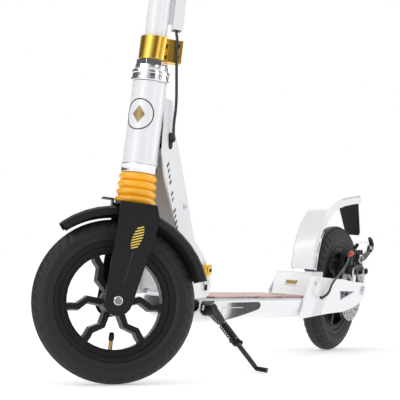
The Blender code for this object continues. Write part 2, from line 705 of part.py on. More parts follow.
# ---------------------------------------------------------------- stem, headset and bars
def make_stem():
    tube = [(STEM_BORE, STEM_BOTTOM), (STEM_R, STEM_BOTTOM), (STEM_R, STEM_TOP), (STEM_BORE, STEM_TOP)]
    solid("stem_tube", *ring_shape(tube, 32), WHITE, STEM)
    for name, low in (("headset_bearing_lower", 0.2545), ("headset_bearing_upper", 0.3840)):
        race = [(0.0208, low), (0.0272, low), (0.0272, low + 0.008), (0.0208, low + 0.008)]
        solid(name, *ring_shape(race, ROUND), STEEL, STEM)
    bush = [(0.0128, 0.2450), (0.0172, 0.2450), (0.0172, 0.2650), (0.0128, 0.2650)]
    solid("slider_bush", *ring_shape(bush, ROUND), SOFT_RUBBER, STEM)
    nut = solid("headset_locknut", *prism_shape(arc((0, 0), 0.0285, 0, 300, 5), 0.4245, 0.4345, "XY"),
                CHROME, STEM, smooth=False)
    bore = helper(turned_shape([(0, 0.41), (0.0208, 0.41), (0.0208, 0.45), (0, 0.45)]), STEM)
    combine(nut, [bore], "DIFFERENCE")


def make_stem_clamp():
    """Split collar with two ears behind the stem."""
    inner = 0.0208
    outer = 0.0262
    ear = 0.0500
    ear_half = 0.0110
    gap = 0.0015
    open_in = math.degrees(math.asin(gap / inner))
    open_out = math.degrees(math.asin(ear_half / outer))
    outline = arc((0, 0), inner, 180 - open_in, -180 + open_in, 20)
    outline += [(-ear, -gap), (-ear, -ear_half)]
    outline += arc((0, 0), outer, -180 + open_out, 180 - open_out, 20)
    outline += [(-ear, ear_half), (-ear, gap)]
    solid("stem_clamp", *prism_shape(outline, 0.4355, 0.4775, "XY"), GOLD, STEM)


def make_cable_duct():
    wall = 0.0015
    x_low, x_high, half = -0.0460, -0.0270, 0.0130
    low, high = 0.4960, 0.6200
    duct = solid("cable_duct", *box_shape((x_low, -half, low), (x_high, half, high)), WHITE, STEM)
    room = helper(box_shape((x_low + wall, -half + wall, low - 0.01), (x_high - wall, half - wall, high + 0.01)),
                  STEM)
    pad = helper(box_shape((x_high - wall, -0.004, low + 0.010), (-STEM_R - 0.0003, 0.004, high - 0.010)), STEM)
    combine(duct, [room], "DIFFERENCE")
    combine(duct, [pad], "UNION")


def make_bellows():
    """Four-fold rubber boot over the suspension."""
    folds = 4
    low, high = 0.1765, 0.2405
    wall = 0.0022
    outer = []
    steps = folds * 4
    for k in range(steps + 1):
        t = k / steps
        big = 0.0378 - 0.0030 * t
        wave = 0.5 - 0.5 * math.cos(2.0 * math.pi * (k % 4) / 4)
        outer.append((big - 0.0055 * (1.0 - wave), low + (high - low) * t))
    inner = [(0.0293 - wall, high), (0.0323 - wall, low)]
    solid("bellows", *ring_shape(outer + inner), AMBER_RUBBER, STEM)


def coil_points(radius, low, high, turns, per_turn=10):
    count = turns * per_turn
    return [(radius * math.cos(2 * math.pi * k / per_turn), radius * math.sin(2 * math.pi * k / per_turn),
             low + (high - low) * k / count) for k in range(count + 1)]


def make_suspension_spring():
    wire = 0.0020
    path = coil_points(0.0185, CROWN_TOP + wire + 0.0008, STEM_BOTTOM - wire - 0.0008, 6)
    solid("suspension_spring", *sweep_shape(path, [wire] * len(path), 6), STEEL, STEM)


def make_handlebar():
    tube = turned_shape([(0, 0.480), (0.0166, 0.480), (0.0166, BAR_U), (0, BAR_U)])
    handlebar = solid("handlebar", *tube, STEEL, STEM)
    bar = helper(turned_shape([(0, -BAR_HALF), (BAR_R, -BAR_HALF), (BAR_R, BAR_HALF), (0, BAR_HALF)], 20),
                 STEM, Matrix.Translation((0, 0, BAR_U)) @ ALONG_Y)
    sleeve = helper(turned_shape([(0, -0.034), (0.0175, -0.034), (0.0175, 0.034), (0, 0.034)], 20),
                    STEM, Matrix.Translation((0, 0, BAR_U)) @ ALONG_Y)
    combine(handlebar, [bar, sleeve], "UNION")
    bores = [helper(turned_shape([(0, 0.47), (0.0148, 0.47), (0.0148, BAR_U - 0.014), (0, BAR_U - 0.014)], 20),
                    STEM),
             helper(turned_shape([(0, -0.3), (0.0092, -0.3), (0.0092, 0.3), (0, 0.3)], 16),
                    STEM, Matrix.Translation((0, 0, BAR_U)) @ ALONG_Y)]
    combine(handlebar, bores, "DIFFERENCE")
    for name, side in (("grip_left", 1), ("grip_right", -1)):
        profile = [(0.0114, 0.145), (0.0190, 0.145), (0.0190, 0.149), (0.0158, 0.151), (0.0165, 0.258),
                   (0.0185, 0.262), (0.0185, 0.270), (0.0060, 0.2725), (0.0060, 0.2656), (0.0114, 0.2656)]
        flip = Matrix.Identity(4) if side > 0 else Matrix.Rotation(math.pi, 4, "X")
        solid(name, *ring_shape(profile, 20), SOFT_RUBBER, STEM,
              Matrix.Translation((0, 0, BAR_U)) @ flip @ ALONG_Y)


LEVER_AXIS = (0.0300, -0.1180)


def make_brake_lever():
    holder = solid("lever_bracket", *prism_shape(
        arc((0, 0), 0.0165, 60, 300, 10) + [(0.0210, -0.0090), (0.0210, 0.0060)], -0.1420, -0.1290),
        BLACK_PLASTIC, STEM, Matrix.Translation((0, 0, BAR_U)))
    arm = helper(prism_shape([(0.0120, -0.1400), (0.0120, -0.1290), (0.0240, -0.1050), (0.0380, -0.1050),
                              (0.0380, -0.1240), (0.0260, -0.1400)], BAR_U - 0.0090, BAR_U - 0.0045, "XY"),
                 STEM)
    bore = axle_cutter(0.0, BAR_U, 0.0114, -0.2, -0.1, STEM)
    combine(holder, [arm], "UNION")
    combine(holder, [bore], "DIFFERENCE")
    blade = [(0.0245, -0.1090), (0.0360, -0.1090), (0.0385, -0.1220), (0.0440, -0.1500), (0.0500, -0.1900),
             (0.0520, -0.2250), (0.0570, -0.2400), (0.0500, -0.2440), (0.0440, -0.2300), (0.0420, -0.1900),
             (0.0350, -0.1500), (0.0270, -0.1300)]
    solid("brake_lever", *prism_shape(blade, BAR_U - 0.0040, BAR_U + 0.0045, "XY"), BLACK_PAINT, STEM)


HEIGHT_LEVER_AXIS = (-0.0345, 0.0142)


def make_height_lock():
    """Collar at the top of the stem tube with its quick-release lever."""
    collar = [(0.0208, 0.6350), (0.0265, 0.6350), (0.0265, 0.6600), (0.0240, 0.6620), (0.0208, 0.6620)]
    ring = solid("height_collar", *ring_shape(collar, ROUND), BLACK_PAINT, STEM)
    lug = helper(box_shape((-0.0400, -0.0090, 0.6370), (-0.0240, 0.0090, 0.6600)), STEM)
    combine(ring, [lug], "UNION")
    blade = arc(HEIGHT_LEVER_AXIS, 0.0045, 120, 330, 5)
    blade += [(-0.0150, 0.0290), (0.0180, 0.0305), (0.0200, 0.0350), (-0.0170, 0.0335)]
    solid("height_lever", *prism_shape(blade, 0.6405, 0.6565, "XY"), BLACK_PLASTIC, STEM)


# ---------------------------------------------------------------- fork and front mudguard
def leg_outline():
    foot = arc((FORK_OFFSET, 0.0), 0.0262, 190, 335, 8)
    return [(0.0325, CROWN_TOP), (-0.0325, CROWN_TOP), (-0.0409, 0.1471)] + foot + [(0.0318, 0.1417)]


def make_fork():
    crown_outline = [(0.0380, 0.0140), (0.0360, 0.0260), (0.0325, LEG_OUT), (-0.0325, LEG_OUT)]
    crown_outline += [(x, -y) for x, y in reversed(crown_outline)]
    crown = solid("fork", *prism_shape(crown_outline, CROWN_BOTTOM, CROWN_TOP, "XY"), BLACK_PAINT, STEM)
    legs = [helper(prism_shape(leg_outline(), low, high), STEM)
            for low, high in ((LEG_IN, LEG_OUT), (-LEG_OUT, -LEG_IN))]
    slider = helper(turned_shape([(0, 0.170), (0.0125, 0.170), (0.0125, 0.345), (0, 0.345)], 20), STEM)
    combine(crown, legs + [slider], "UNION")
    combine(crown, [axle_cutter(FORK_OFFSET, 0.0, 0.0056, -0.07, 0.07, STEM)], "DIFFERENCE")
    head = 0.0085
    axle = [(0, -0.0610), (0.0050, -0.0610), (head, -0.0585), (head, -0.0548), (AXLE_R, -0.0548),
            (AXLE_R, -0.0497), (0.0085, -0.0497), (0.0085, -0.0370), (AXLE_R, -0.0370),
            (AXLE_R, 0.0370), (0.0085, 0.0370), (0.0085, 0.0497), (AXLE_R, 0.0497),
            (AXLE_R, 0.0548), (head, 0.0548), (head, 0.0585), (0.0050, 0.0610), (0, 0.0610)]
    solid("front_axle", *turned_shape(axle, 20), STEEL, FRONT_AXLE, ALONG_Y)


def make_front_fender():
    """Arched mudguard with a flat top and folded-down sides, on a bracket under the crown."""
    rings = []
    steps = 14
    section = [(0.0, 0.0215), (-0.004, 0.0270), (-0.0150, 0.0300), (-0.0150, 0.0282), (-0.0052, 0.0255),
               (-0.0018, 0.0205)]
    section += [(drop, -y) for drop, y in reversed(section)]
    for k in range(steps + 1):
        angle = math.radians(48.6 + (160.4 - 48.6) * k / steps)
        rings.append([((FENDER_R + drop) * math.cos(angle), y, (FENDER_R + drop) * math.sin(angle))
                      for drop, y in section])
    fender = solid("front_fender", *loft_shape(rings), BLACK_PLASTIC, FRONT_AXLE)
    bracket = helper(box_shape((0.0386, -0.0120, 0.1620), (0.0411, 0.0120, 0.1805)), STEM)
    tab = helper(box_shape((0.0386, -0.0120, 0.1780), (0.0590, 0.0120, 0.1805)), STEM)
    combine(fender, [bracket, tab], "UNION")


# ---------------------------------------------------------------- side stand
STAND_PIVOT = Vector((0.8230, 0.0735, 0.1290))
STAND_KNEE_X = 0.7000
STAND_KNEE_Y = 0.1200
STAND_TOE = 0.0220
STAND_BAR_R = 0.0048
STAND_AXIS = Vector((0.0875, 0.948, 0.302)).normalized()


def ground_at(y, radius):
    """Height in the leaning frame of a round bar that rests on the ground at y."""
    lift = TYRE_SECTION * (1.0 - math.cos(LEAN))
    return (radius - lift + y * math.sin(LEAN)) / math.cos(LEAN)


def make_stand():
    toe_y = STAND_KNEE_Y + STAND_TOE
    knee = Vector((STAND_KNEE_X, STAND_KNEE_Y, ground_at(toe_y, STAND_BAR_R) + 0.0010))
    toe = Vector((STAND_KNEE_X, toe_y, ground_at(toe_y, STAND_BAR_R)))
    down = (knee - STAND_PIVOT).normalized()
    block_end = STAND_PIVOT + down * 0.036
    bar_start = STAND_PIVOT + down * 0.038
    spring_end = STAND_PIVOT + down * 0.090
    lug_end = STAND_PIVOT + down * 0.097
    path = [STAND_PIVOT, block_end, bar_start, spring_end, spring_end + down * 0.0005, lug_end,
            lug_end + down * 0.0005, knee - down * 0.008, knee, toe]
    bar = STAND_BAR_R
    radii = [0.0066, 0.0066, bar, bar, 0.0088, 0.0088, bar, bar, bar, bar]
    leg = solid("kickstand_leg", *sweep_shape(path, radii, 12), BLACK_PAINT)
    facing = STAND_AXIS.to_track_quat("Z", "Y").to_matrix().to_4x4()
    place = Matrix.Translation(STAND_PIVOT) @ facing
    knuckle = turned_shape([(0, -0.0070), (0.0110, -0.0070), (0.0110, 0.0075), (0, 0.0075)], 18)
    combine(leg, [helper(knuckle, SCOOTER, place)], "UNION")

    wire = 0.0014
    coil = coil_points(0.0072, 0.0405, 0.0878, 7, 9)
    along = down.to_track_quat("Z", "Y").to_matrix().to_4x4()
    solid("kickstand_spring", *sweep_shape(coil, [wire] * len(coil), 5), BLACK_PAINT, SCOOTER,
          Matrix.Translation(STAND_PIVOT) @ along)

    plate = [(0.7880, 0.1250), (0.8330, 0.1180), (0.8440, 0.1250), (0.8440, 0.1400), (0.8370, 0.1450),
             (0.7880, 0.1440)]
    bracket = solid("kickstand_bracket", *prism_shape(plate, DECK_HALF + 0.0004, DECK_HALF + 0.0024),
                    BLACK_PAINT)
    boss = turned_shape([(0, -0.0150), (0.0085, -0.0150), (0.0085, -0.0074), (0, -0.0074)], 18)
    trim = helper(box_shape((0.75, 0.02, 0.08), (0.88, DECK_HALF + 0.0004, 0.18)))
    combine(bracket, [helper(boss, SCOOTER, place)], "UNION")
    combine(bracket, [trim], "DIFFERENCE")


# ---------------------------------------------------------------- brake cable, in its four stretches
def make_cables():
    stem = stem_matrix()
    duct_exit = [stem @ Vector(p) for p in ((-0.0350, 0.0070, 0.5068), (-0.0352, 0.0078, 0.4950),
                                            (-0.0375, 0.0150, 0.4780), (-0.0395, 0.0170, 0.4500),
                                            (-0.0430, 0.0170, 0.4200))]
    hole = (GROMMET[0], GROMMET[1])
    y = plate_y(hole[1]) + 0.0025 + CABLE_GAP
    into_frame = [(0.9745, 0.0470, 0.4900), (0.9790, 0.0475, 0.4640), (0.9790, 0.0480, 0.4450),
                  (0.9722, y + 0.0040, 0.4345), (hole[0], y, hole[1])]
    cable("brake_cable_steer", duct_exit + into_frame, step=0.008)

    y_in = plate_y(hole[1]) - 0.006 - CABLE_GAP
    cable("brake_cable_frame", [(hole[0], y_in, hole[1]), (0.9716, y_in - 0.006, 0.4335),
                                (0.9620, 0.0180, 0.4300), (0.9500, 0.0080, 0.4260),
                                (0.9428, 0.0030, 0.4080), (0.9330, 0.0000, 0.3800),
                                (0.9184, 0.0000, 0.3400), (0.9020, 0.0000, 0.3000),
                                (0.8800, 0.0000, 0.2600), (0.8640, 0.0000, 0.2250),
                                (0.8440, 0.0000, 0.1950), (0.8385, 0.0000, 0.1880),
                                (0.8385, 0.0000, 0.1824)])
    cable("brake_cable_deck", [(0.8385, 0.0000, 0.1806), (0.8388, 0.0000, 0.1760), (0.8560, 0.0000, 0.1620),
                               (0.8575, 0.0000, 0.1480), (0.8520, 0.0000, 0.1360), (0.8400, 0.0000, 0.1290),
                               (0.8000, 0.0000, 0.1260), (0.7000, 0.0100, 0.1220), (0.5500, 0.0250, 0.1180),
                               (0.4000, 0.0380, 0.1140), (0.3300, 0.0420, 0.1160), (0.2850, 0.0440, 0.1190),
                               (0.2620, 0.0490, 0.1250), (0.2500, 0.0560, 0.1310), (0.2443, 0.0650, 0.1345),
                               (0.2436, 0.0745, 0.1362), (0.2390, 0.0815, 0.1430), (0.2200, 0.0838, 0.1640),
                               (0.1610, 0.0838, 0.1925), (0.1277, 0.0800, 0.2061), (0.0860, 0.0720, 0.2225)])
    cable("brake_cable_bar", [(0.0400, -0.1000, BAR_U + 0.0005), (0.0520, -0.0700, BAR_U + 0.0040),
                              (0.0540, -0.0300, BAR_U - 0.0050), (0.0460, 0.0150, BAR_U - 0.0450),
                              (0.0250, 0.0450, BAR_U - 0.1000), (-0.0080, 0.0520, BAR_U - 0.1600),
                              (-0.0400, 0.0420, BAR_U - 0.2000), (-0.0500, 0.0250, BAR_U - 0.2250),
                              (-0.0400, 0.0080, BAR_U - 0.2520), (-0.0350, 0.0060, BAR_U - 0.2700),
                              (-0.0350, 0.0060, 0.5800), (-0.0350, 0.0070, 0.5070)], STEM)


make_deck()
make_knuckle()
make_rear_box()
make_rear_plates()
make_rear_axle()
make_rear_fender()
make_mudflap()
make_caliper()
make_caliper_arm()
make_wheel("rear", REAR_AXLE, -0.0400, 0.0497, 20)
make_wheel("front", FRONT_AXLE, -0.0360, 0.0360, -36)
make_valve()
make_rotor()
make_front_frame()
make_frame_fittings()
make_fold_lever()
make_stem()
make_stem_clamp()
make_cable_duct()
make_bellows()
make_suspension_spring()
make_handlebar()
make_brake_lever()
make_height_lock()
make_fork()
make_front_fender()
make_stand()
make_cables()


# ---------------------------------------------------------------- pivots of the moving pieces
def place_in_scooter(obj):
    """The object's matrix in the scooter frame, through whatever carries it."""
    place = obj.matrix_basis.copy()
    carrier = obj.parent
    while carrier is not SCOOTER:
        place = carrier.matrix_basis @ place
        carrier = carrier.parent
    return place


def hang_on(pivot, names):
    """Carry objects by the empty on their joint's axis, without moving them."""
    for name in names:
        obj = bpy.data.objects[name]
        local = place_in_scooter(pivot).inverted() @ place_in_scooter(obj)
        obj.parent = pivot
        obj.matrix_basis = local


hang_on(FOLD, ["front_frame", "fold_pivot_bolt", "upper_headset_cup", "lower_headset_cup",
               "cable_grommet", "brake_cable_frame"])
hang_on(empty("fold_lever_pivot", FOLD, Matrix.Translation((LOCK[0] - PIVOT[0], 0.0, LOCK[1] - PIVOT[1]))),
        ["fold_lever"])
hang_on(empty("stand_pivot", SCOOTER, Matrix.Translation(STAND_PIVOT)), ["kickstand_leg", "kickstand_spring"])
hang_on(empty("caliper_arm_pivot", SCOOTER, Matrix.Translation((ARM_AXIS[0], 0.0, ARM_AXIS[1]))),
        ["caliper_arm"])
hang_on(empty("brake_lever_pivot", STEM, Matrix.Translation((*LEVER_AXIS, BAR_U))), ["brake_lever"])
hang_on(empty("height_lever_pivot", STEM, Matrix.Translation((*HEIGHT_LEVER_AXIS, 0.6485))), ["height_lever"])
hang_on(STEM, ["brake_cable_steer"])
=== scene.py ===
"""Kick scooter on its side stand: finishes, fine detail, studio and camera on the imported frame."""
import math

import bmesh
import bpy
from mathutils import Matrix, Vector


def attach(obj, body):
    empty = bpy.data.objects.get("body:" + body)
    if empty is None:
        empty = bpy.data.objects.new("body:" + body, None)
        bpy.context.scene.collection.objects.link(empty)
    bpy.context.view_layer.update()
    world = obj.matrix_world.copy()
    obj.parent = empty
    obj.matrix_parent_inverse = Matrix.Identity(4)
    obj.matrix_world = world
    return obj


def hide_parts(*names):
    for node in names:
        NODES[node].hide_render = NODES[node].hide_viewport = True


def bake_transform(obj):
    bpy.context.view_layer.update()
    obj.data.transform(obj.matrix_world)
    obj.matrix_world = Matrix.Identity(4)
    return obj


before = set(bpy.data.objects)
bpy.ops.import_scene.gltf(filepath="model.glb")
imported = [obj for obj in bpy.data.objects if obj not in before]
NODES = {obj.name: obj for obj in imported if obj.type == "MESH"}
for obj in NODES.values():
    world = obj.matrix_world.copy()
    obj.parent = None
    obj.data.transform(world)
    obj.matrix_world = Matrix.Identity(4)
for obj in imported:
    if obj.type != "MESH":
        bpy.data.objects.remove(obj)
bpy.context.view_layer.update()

# ---------------------------------------------------------------- dimensions shared with the CAD
LEAN = math.radians(4.1)
RAKE = math.radians(7.2)
STEER = math.radians(-54.3)
MIDDLE = (0.50687, 0.06144)
SECTION = 0.0235
RING = 0.1215
WHEEL_R = 0.145
FORK_OFFSET = 0.0162
PLATE_FLARE = 0.0739
BAR_U = 0.880
PIVOT = (0.829, 0.1815)
LOCK = (0.831, 0.2025)
LIFT = SECTION * (1.0 - math.cos(LEAN))


def shift(*offset):
    return Matrix.Translation(offset)


def rotate(degrees, axis):
    return Matrix.Rotation(math.radians(degrees), 4, axis)


def stem_place():
    """The stem's frame in the scooter's, at the height that sets the turned tyre on the ground."""
    turn = Matrix.Rotation(-RAKE, 4, "Y") @ Matrix.Rotation(STEER, 4, "Z")
    reach = turn @ Vector((FORK_OFFSET, 0.0, 0.0))
    across = Matrix.Rotation(-LEAN, 4, "X") @ turn @ Vector((0.0, 1.0, 0.0))
    centre = RING * math.sqrt(1.0 - across.z ** 2) + SECTION
    axle_z = (centre - LIFT + reach.y * math.sin(LEAN)) / math.cos(LEAN)
    return shift(1.0406, 0.0, axle_z - reach.z) @ turn


BASE = shift(-MIDDLE[0], -MIDDLE[1], LIFT) @ Matrix.Rotation(-LEAN, 4, "X")
STEM = BASE @ stem_place()
REAR = BASE @ shift(0.0, 0.0, WHEEL_R)
FRONT = STEM @ shift(FORK_OFFSET, 0.0, 0.0)
ALONG_Y = rotate(-90, "X")
SIDES = ((1, "left"), (-1, "right"))
WHEELS = (("front", FRONT), ("rear", REAR))


def new_material(name, colour, roughness, metallic=0.0, coat=0.0, specular=0.5):
    mat = bpy.data.materials.new(name)
    mat.use_nodes = True
    shader = mat.node_tree.nodes["Principled BSDF"]
    shader.inputs["Base Color"].default_value = (*colour, 1.0)
    shader.inputs["Roughness"].default_value = roughness
    shader.inputs["Metallic"].default_value = metallic
    shader.inputs["Coat Weight"].default_value = coat
    shader.inputs["Coat Roughness"].default_value = 0.06
    shader.inputs["Specular IOR Level"].default_value = specular
    return mat


def add(mat, kind, **values):
    node = mat.node_tree.nodes.new(kind)
    for key, value in values.items():
        if key in node.inputs:
            node.inputs[key].default_value = value
        else:
            setattr(node, key, value)
    return node


def link(mat, source, out, target, into):
    mat.node_tree.links.new(source.outputs[out], target.inputs[into])


def grain(mat, scale, colour_spread=0.0, rough_spread=0.0, bump=0.0, distance=0.0004, detail=4.0,
          stretch=None):
    """Noise that varies a material's colour and roughness a little and roughens its surface."""
    shader = mat.node_tree.nodes["Principled BSDF"]
    coords = add(mat, "ShaderNodeTexCoord")
    mapping = add(mat, "ShaderNodeMapping")
    if stretch:
        mapping.inputs["Scale"].default_value = stretch
    noise = add(mat, "ShaderNodeTexNoise", Scale=scale, Detail=detail)
    link(mat, coords, "Object", mapping, "Vector")
    link(mat, mapping, "Vector", noise, "Vector")
    if colour_spread:
        base = shader.inputs["Base Color"].default_value[:]
        mix = add(mat, "ShaderNodeMix", data_type="RGBA")
        mix.inputs[6].default_value = tuple(c * (1 - colour_spread) for c in base[:3]) + (1,)
        mix.inputs[7].default_value = tuple(min(1, c * (1 + colour_spread)) for c in base[:3]) + (1,)
        link(mat, noise, "Fac", mix, 0)
        mat.node_tree.links.new(mix.outputs[2], shader.inputs["Base Color"])
    if rough_spread:
        rough = shader.inputs["Roughness"].default_value
        span = add(mat, "ShaderNodeMapRange")
        span.inputs["To Min"].default_value = max(0.02, rough - rough_spread)
        span.inputs["To Max"].default_value = rough + rough_spread
        link(mat, noise, "Fac", span, "Value")
        link(mat, span, "Result", shader, "Roughness")
    if bump:
        bumps = add(mat, "ShaderNodeBump", Strength=bump, Distance=distance)
        link(mat, noise, "Fac", bumps, "Height")
        link(mat, bumps, "Normal", shader, "Normal")
    return mat


def surface(name, colour, roughness, *noise, **looks):
    """Material with its grain: noise is grain's own arguments and looks new_material's."""
    return grain(new_material(name, colour, roughness, **looks), *noise)


WHITE = surface("white_paint", (0.80, 0.81, 0.83), 0.22, 260, 0.012, 0.05, 0.05, coat=0.5)
BLACK = surface("black_paint", (0.0115, 0.0115, 0.0135), 0.34, 700, 0.10, 0.07, 0.15, 0.0003, specular=0.32)
PLASTIC = surface("black_plastic", (0.009, 0.009, 0.0105), 0.40, 900, 0.12, 0.08, 0.25, 0.0003, specular=0.30)
RIM = surface("rim_plastic", (0.0105, 0.0105, 0.0120), 0.46, 800, 0.10, 0.08, 0.2, 0.0003, specular=0.22)
TYRE = surface("tyre_rubber", (0.0150, 0.0150, 0.0165), 0.52, 420, 0.25, 0.12, 0.4, 0.0005, specular=0.30)
RUBBER = surface("soft_rubber", (0.012, 0.012, 0.013), 0.58, 600, 0.15, 0.1, 0.3, 0.0004, specular=0.3)
AMBER = surface("amber_rubber", (0.95, 0.45, 0.015), 0.26, 90, 0.06, 0.06, 0.06, coat=0.3)
GOLD = surface("gold_anodised", (0.85, 0.52, 0.09), 0.24, 500, 0.05, 0.06, 0.03, 0.0002, 4.0, (1, 1, 8),
               metallic=1.0)
CHROME = surface("chrome", (0.80, 0.81, 0.84), 0.09, 300, 0.02, 0.03, metallic=1.0)
STEEL = surface("bright_steel", (0.66, 0.67, 0.69), 0.24, 500, 0.06, 0.08, 0.05, 0.0002, metallic=1.0)
ROTOR = surface("rotor_steel", (0.34, 0.35, 0.37), 0.36, 900, 0.10, 0.1, 0.1, 0.0002, metallic=1.0)
BRASS = surface("brass", (0.72, 0.45, 0.14), 0.25, 400, 0.08, 0.08, metallic=1.0)
RED = surface("red_spring", (0.42, 0.045, 0.012), 0.35, 400, 0.1, 0.08, coat=0.3)
# Grey of the white paint as it looks in shade: painted shade, used in the recess behind the head tube and
# along slits.
PAINTED_SHADE = surface("painted_shade_grey", (0.60, 0.58, 0.56), 0.35, 200, 0.03, 0.05, 0.05)
YELLOW = surface("yellow_print", (0.85, 0.62, 0.10), 0.4, 300, 0.08, 0.05)
DARK_PRINT = surface("dark_print", (0.03, 0.028, 0.022), 0.35, 300, 0.1, 0.05)
GOLD_PRINT = surface("gold_print", (0.30, 0.22, 0.09), 0.35, 300, 0.1, 0.05, metallic=0.6)


def wood_material():
    """Grip printed with narrow planks of brown, beige and pink along the deck, and their grain."""
    mat = new_material("wood_grip", (0.4, 0.28, 0.22), 0.55)
    shader = mat.node_tree.nodes["Principled BSDF"]
    coords = add(mat, "ShaderNodeTexCoord")
    shape = add(mat, "ShaderNodeMapping")
    shape.inputs["Scale"].default_value = (14.0, 95.0, 1.0)
    planks = add(mat, "ShaderNodeTexVoronoi", Scale=1.0)
    wave = add(mat, "ShaderNodeMapping")
    wave.inputs["Scale"].default_value = (9.0, 120.0, 40.0)
    streaks = add(mat, "ShaderNodeTexNoise", Scale=3.0, Detail=8.0, Distortion=1.2)
    ramp = add(mat, "ShaderNodeValToRGB")
    stops = ramp.color_ramp.elements
    stops[0].position = 0.25
    stops[0].color = (0.105, 0.060, 0.045, 1)
    stops[1].position = 0.80
    stops[1].color = (0.62, 0.46, 0.34, 1)
    for place, colour in ((0.42, (0.30, 0.19, 0.15, 1)), (0.54, (0.58, 0.33, 0.27, 1)),
                          (0.66, (0.33, 0.26, 0.22, 1))):
        stops.new(place).color = colour
    mix = add(mat, "ShaderNodeMath", operation="MULTIPLY_ADD")
    mix.inputs[1].default_value = 0.28
    link(mat, coords, "Object", shape, "Vector")
    link(mat, shape, "Vector", planks, "Vector")
    link(mat, coords, "Object", wave, "Vector")
    link(mat, wave, "Vector", streaks, "Vector")
    grey = add(mat, "ShaderNodeSeparateColor")
    link(mat, planks, "Color", grey, "Color")
    link(mat, grey, "Red", mix, 0)
    tone = add(mat, "ShaderNodeMath", operation="MULTIPLY_ADD")
    tone.inputs[1].default_value = 1.0
    tone.inputs[2].default_value = -0.13
    link(mat, streaks, "Fac", tone, 0)
    link(mat, tone, "Value", mix, 2)
    link(mat, mix, "Value", ramp, "Fac")
    link(mat, ramp, "Color", shader, "Base Color")
    bumps = add(mat, "ShaderNodeBump", Strength=0.35, Distance=0.0006)
    link(mat, streaks, "Fac", bumps, "Height")
    link(mat, bumps, "Normal", shader, "Normal")
    return mat


WOOD = wood_material()
CABLE = surface("cable_housing", (0.012, 0.012, 0.013), 0.34, 900, 0.1, 0.06, 0.1, 0.0001, coat=0.15)


WELD_GAP = 1e-5
BEVEL_ANGLE = math.radians(32)


# ---------------------------------------------------------------- mesh helpers
def in_scene(obj):
    bpy.context.scene.collection.objects.link(obj)
    return obj


def piece(name, verts, faces, mat, body, place=Matrix.Identity(4), sharp=35, bevel=0.0):
    """One visible mesh in its material's slot, riding a body where one is given."""
    mesh = bpy.data.meshes.new(name)
    mesh.from_pydata([tuple(v) for v in verts], [], faces)
    work = bmesh.new()
    work.from_mesh(mesh)
    bmesh.ops.remove_doubles(work, verts=work.verts, dist=1e-6)
    bmesh.ops.recalc_face_normals(work, faces=work.faces)
    work.to_mesh(mesh)
    work.free()
    mesh.shade_smooth()
    mesh.set_sharp_from_angle(angle=math.radians(sharp))
    mesh.materials.append(mat)
    obj = in_scene(bpy.data.objects.new(name, mesh))
    obj.matrix_world = place
    if bevel:
        soften(obj, bevel)
    if body:
        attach(obj, body)
    return obj


def close_seams(obj):
    obj.modifiers.new("weld", "WELD").merge_threshold = WELD_GAP


def soften(obj, width, weld=False):
    """Round an object's hard edges a little."""
    if weld:
        close_seams(obj)
    edge = obj.modifiers.new("round", "BEVEL")
    edge.width = width
    edge.segments = 2
    edge.limit_method = "ANGLE"
    edge.angle_limit = BEVEL_ANGLE
    edge.miter_outer = "MITER_ARC"
    obj.modifiers.new("weighted", "WEIGHTED_NORMAL")


def ring(profile, segments=64):
    """Turn a closed profile of (radius, height) points round Z."""
    count = len(profile)
    verts = [(r * math.cos(2 * math.pi * s / segments), r * math.sin(2 * math.pi * s / segments), h)
             for s in range(segments) for r, h in profile]
    faces = []
    for s in range(segments):
        a = s * count
        b = ((s + 1) % segments) * count
        for p in range(count):
            q = (p + 1) % count
            faces.append((a + p, b + p, b + q, a + q))
    return verts, faces


def turned(profile, segments=48):
    """Turn an open profile whose ends are capped flat."""
    count = len(profile)
    verts, faces = ring(profile, segments)
    faces = [f for k, f in enumerate(faces) if k % count != count - 1]
    faces.append([s * count for s in range(segments)])
    faces.append([s * count + count - 1 for s in range(segments)])
    return verts, faces


def prism(outline, low, high, plane="XZ"):
    place = {
        "XZ": lambda a, b, d: (a, d, b),
        "XY": lambda a, b, d: (a, b, d),
        "YZ": lambda a, b, d: (d, a, b),
    }[plane]
    count = len(outline)
    verts = [place(a, b, d) for d in (low, high) for a, b in outline]
    faces = [list(range(count)), list(range(count, 2 * count))]
    for p in range(count):
        q = (p + 1) % count
        faces.append((p, q, q + count, p + count))
    return verts, faces


def loft(rings, capped=True):
    count = len(rings[0])
    verts = [v for r in rings for v in r]
    faces = []
    for k in range(len(rings) - 1):
        for p in range(count):
            q = (p + 1) % count
            faces.append((k * count + p, k * count + q, (k + 1) * count + q, (k + 1) * count + p))
    if capped:
        faces.append(list(range(count)))
        faces.append(list(range((len(rings) - 1) * count, len(rings) * count)))
    return verts, faces


def bar(points, radii, sides=16):
    """Rod through points; radii is one number, or one for each point."""
    points = [Vector(p) for p in points]
    if isinstance(radii, float):
        radii = [radii] * len(points)
    rings = []
    side = None
    for k, point in enumerate(points):
        ahead = (points[min(k + 1, len(points) - 1)] - points[max(k - 1, 0)]).normalized()
        if side is None:
            side = ahead.orthogonal().normalized()
        side = (side - ahead * side.dot(ahead)).normalized()
        other = ahead.cross(side)
        rings.append([point + radii[k] * (math.cos(2 * math.pi * s / sides) * side
                                          + math.sin(2 * math.pi * s / sides) * other)
                      for s in range(sides)])
    return loft(rings)


def arc(centre, radius, start, end, steps):
    return [(centre[0] + radius * math.cos(math.radians(start + (end - start) * k / steps)),
             centre[1] + radius * math.sin(math.radians(start + (end - start) * k / steps)))
            for k in range(steps + 1)]


def merge(*shapes):
    verts = []
    faces = []
    for part_verts, part_faces in shapes:
        base = len(verts)
        verts += [tuple(v) for v in part_verts]
        faces += [[base + i for i in f] for f in part_faces]
    return verts, faces


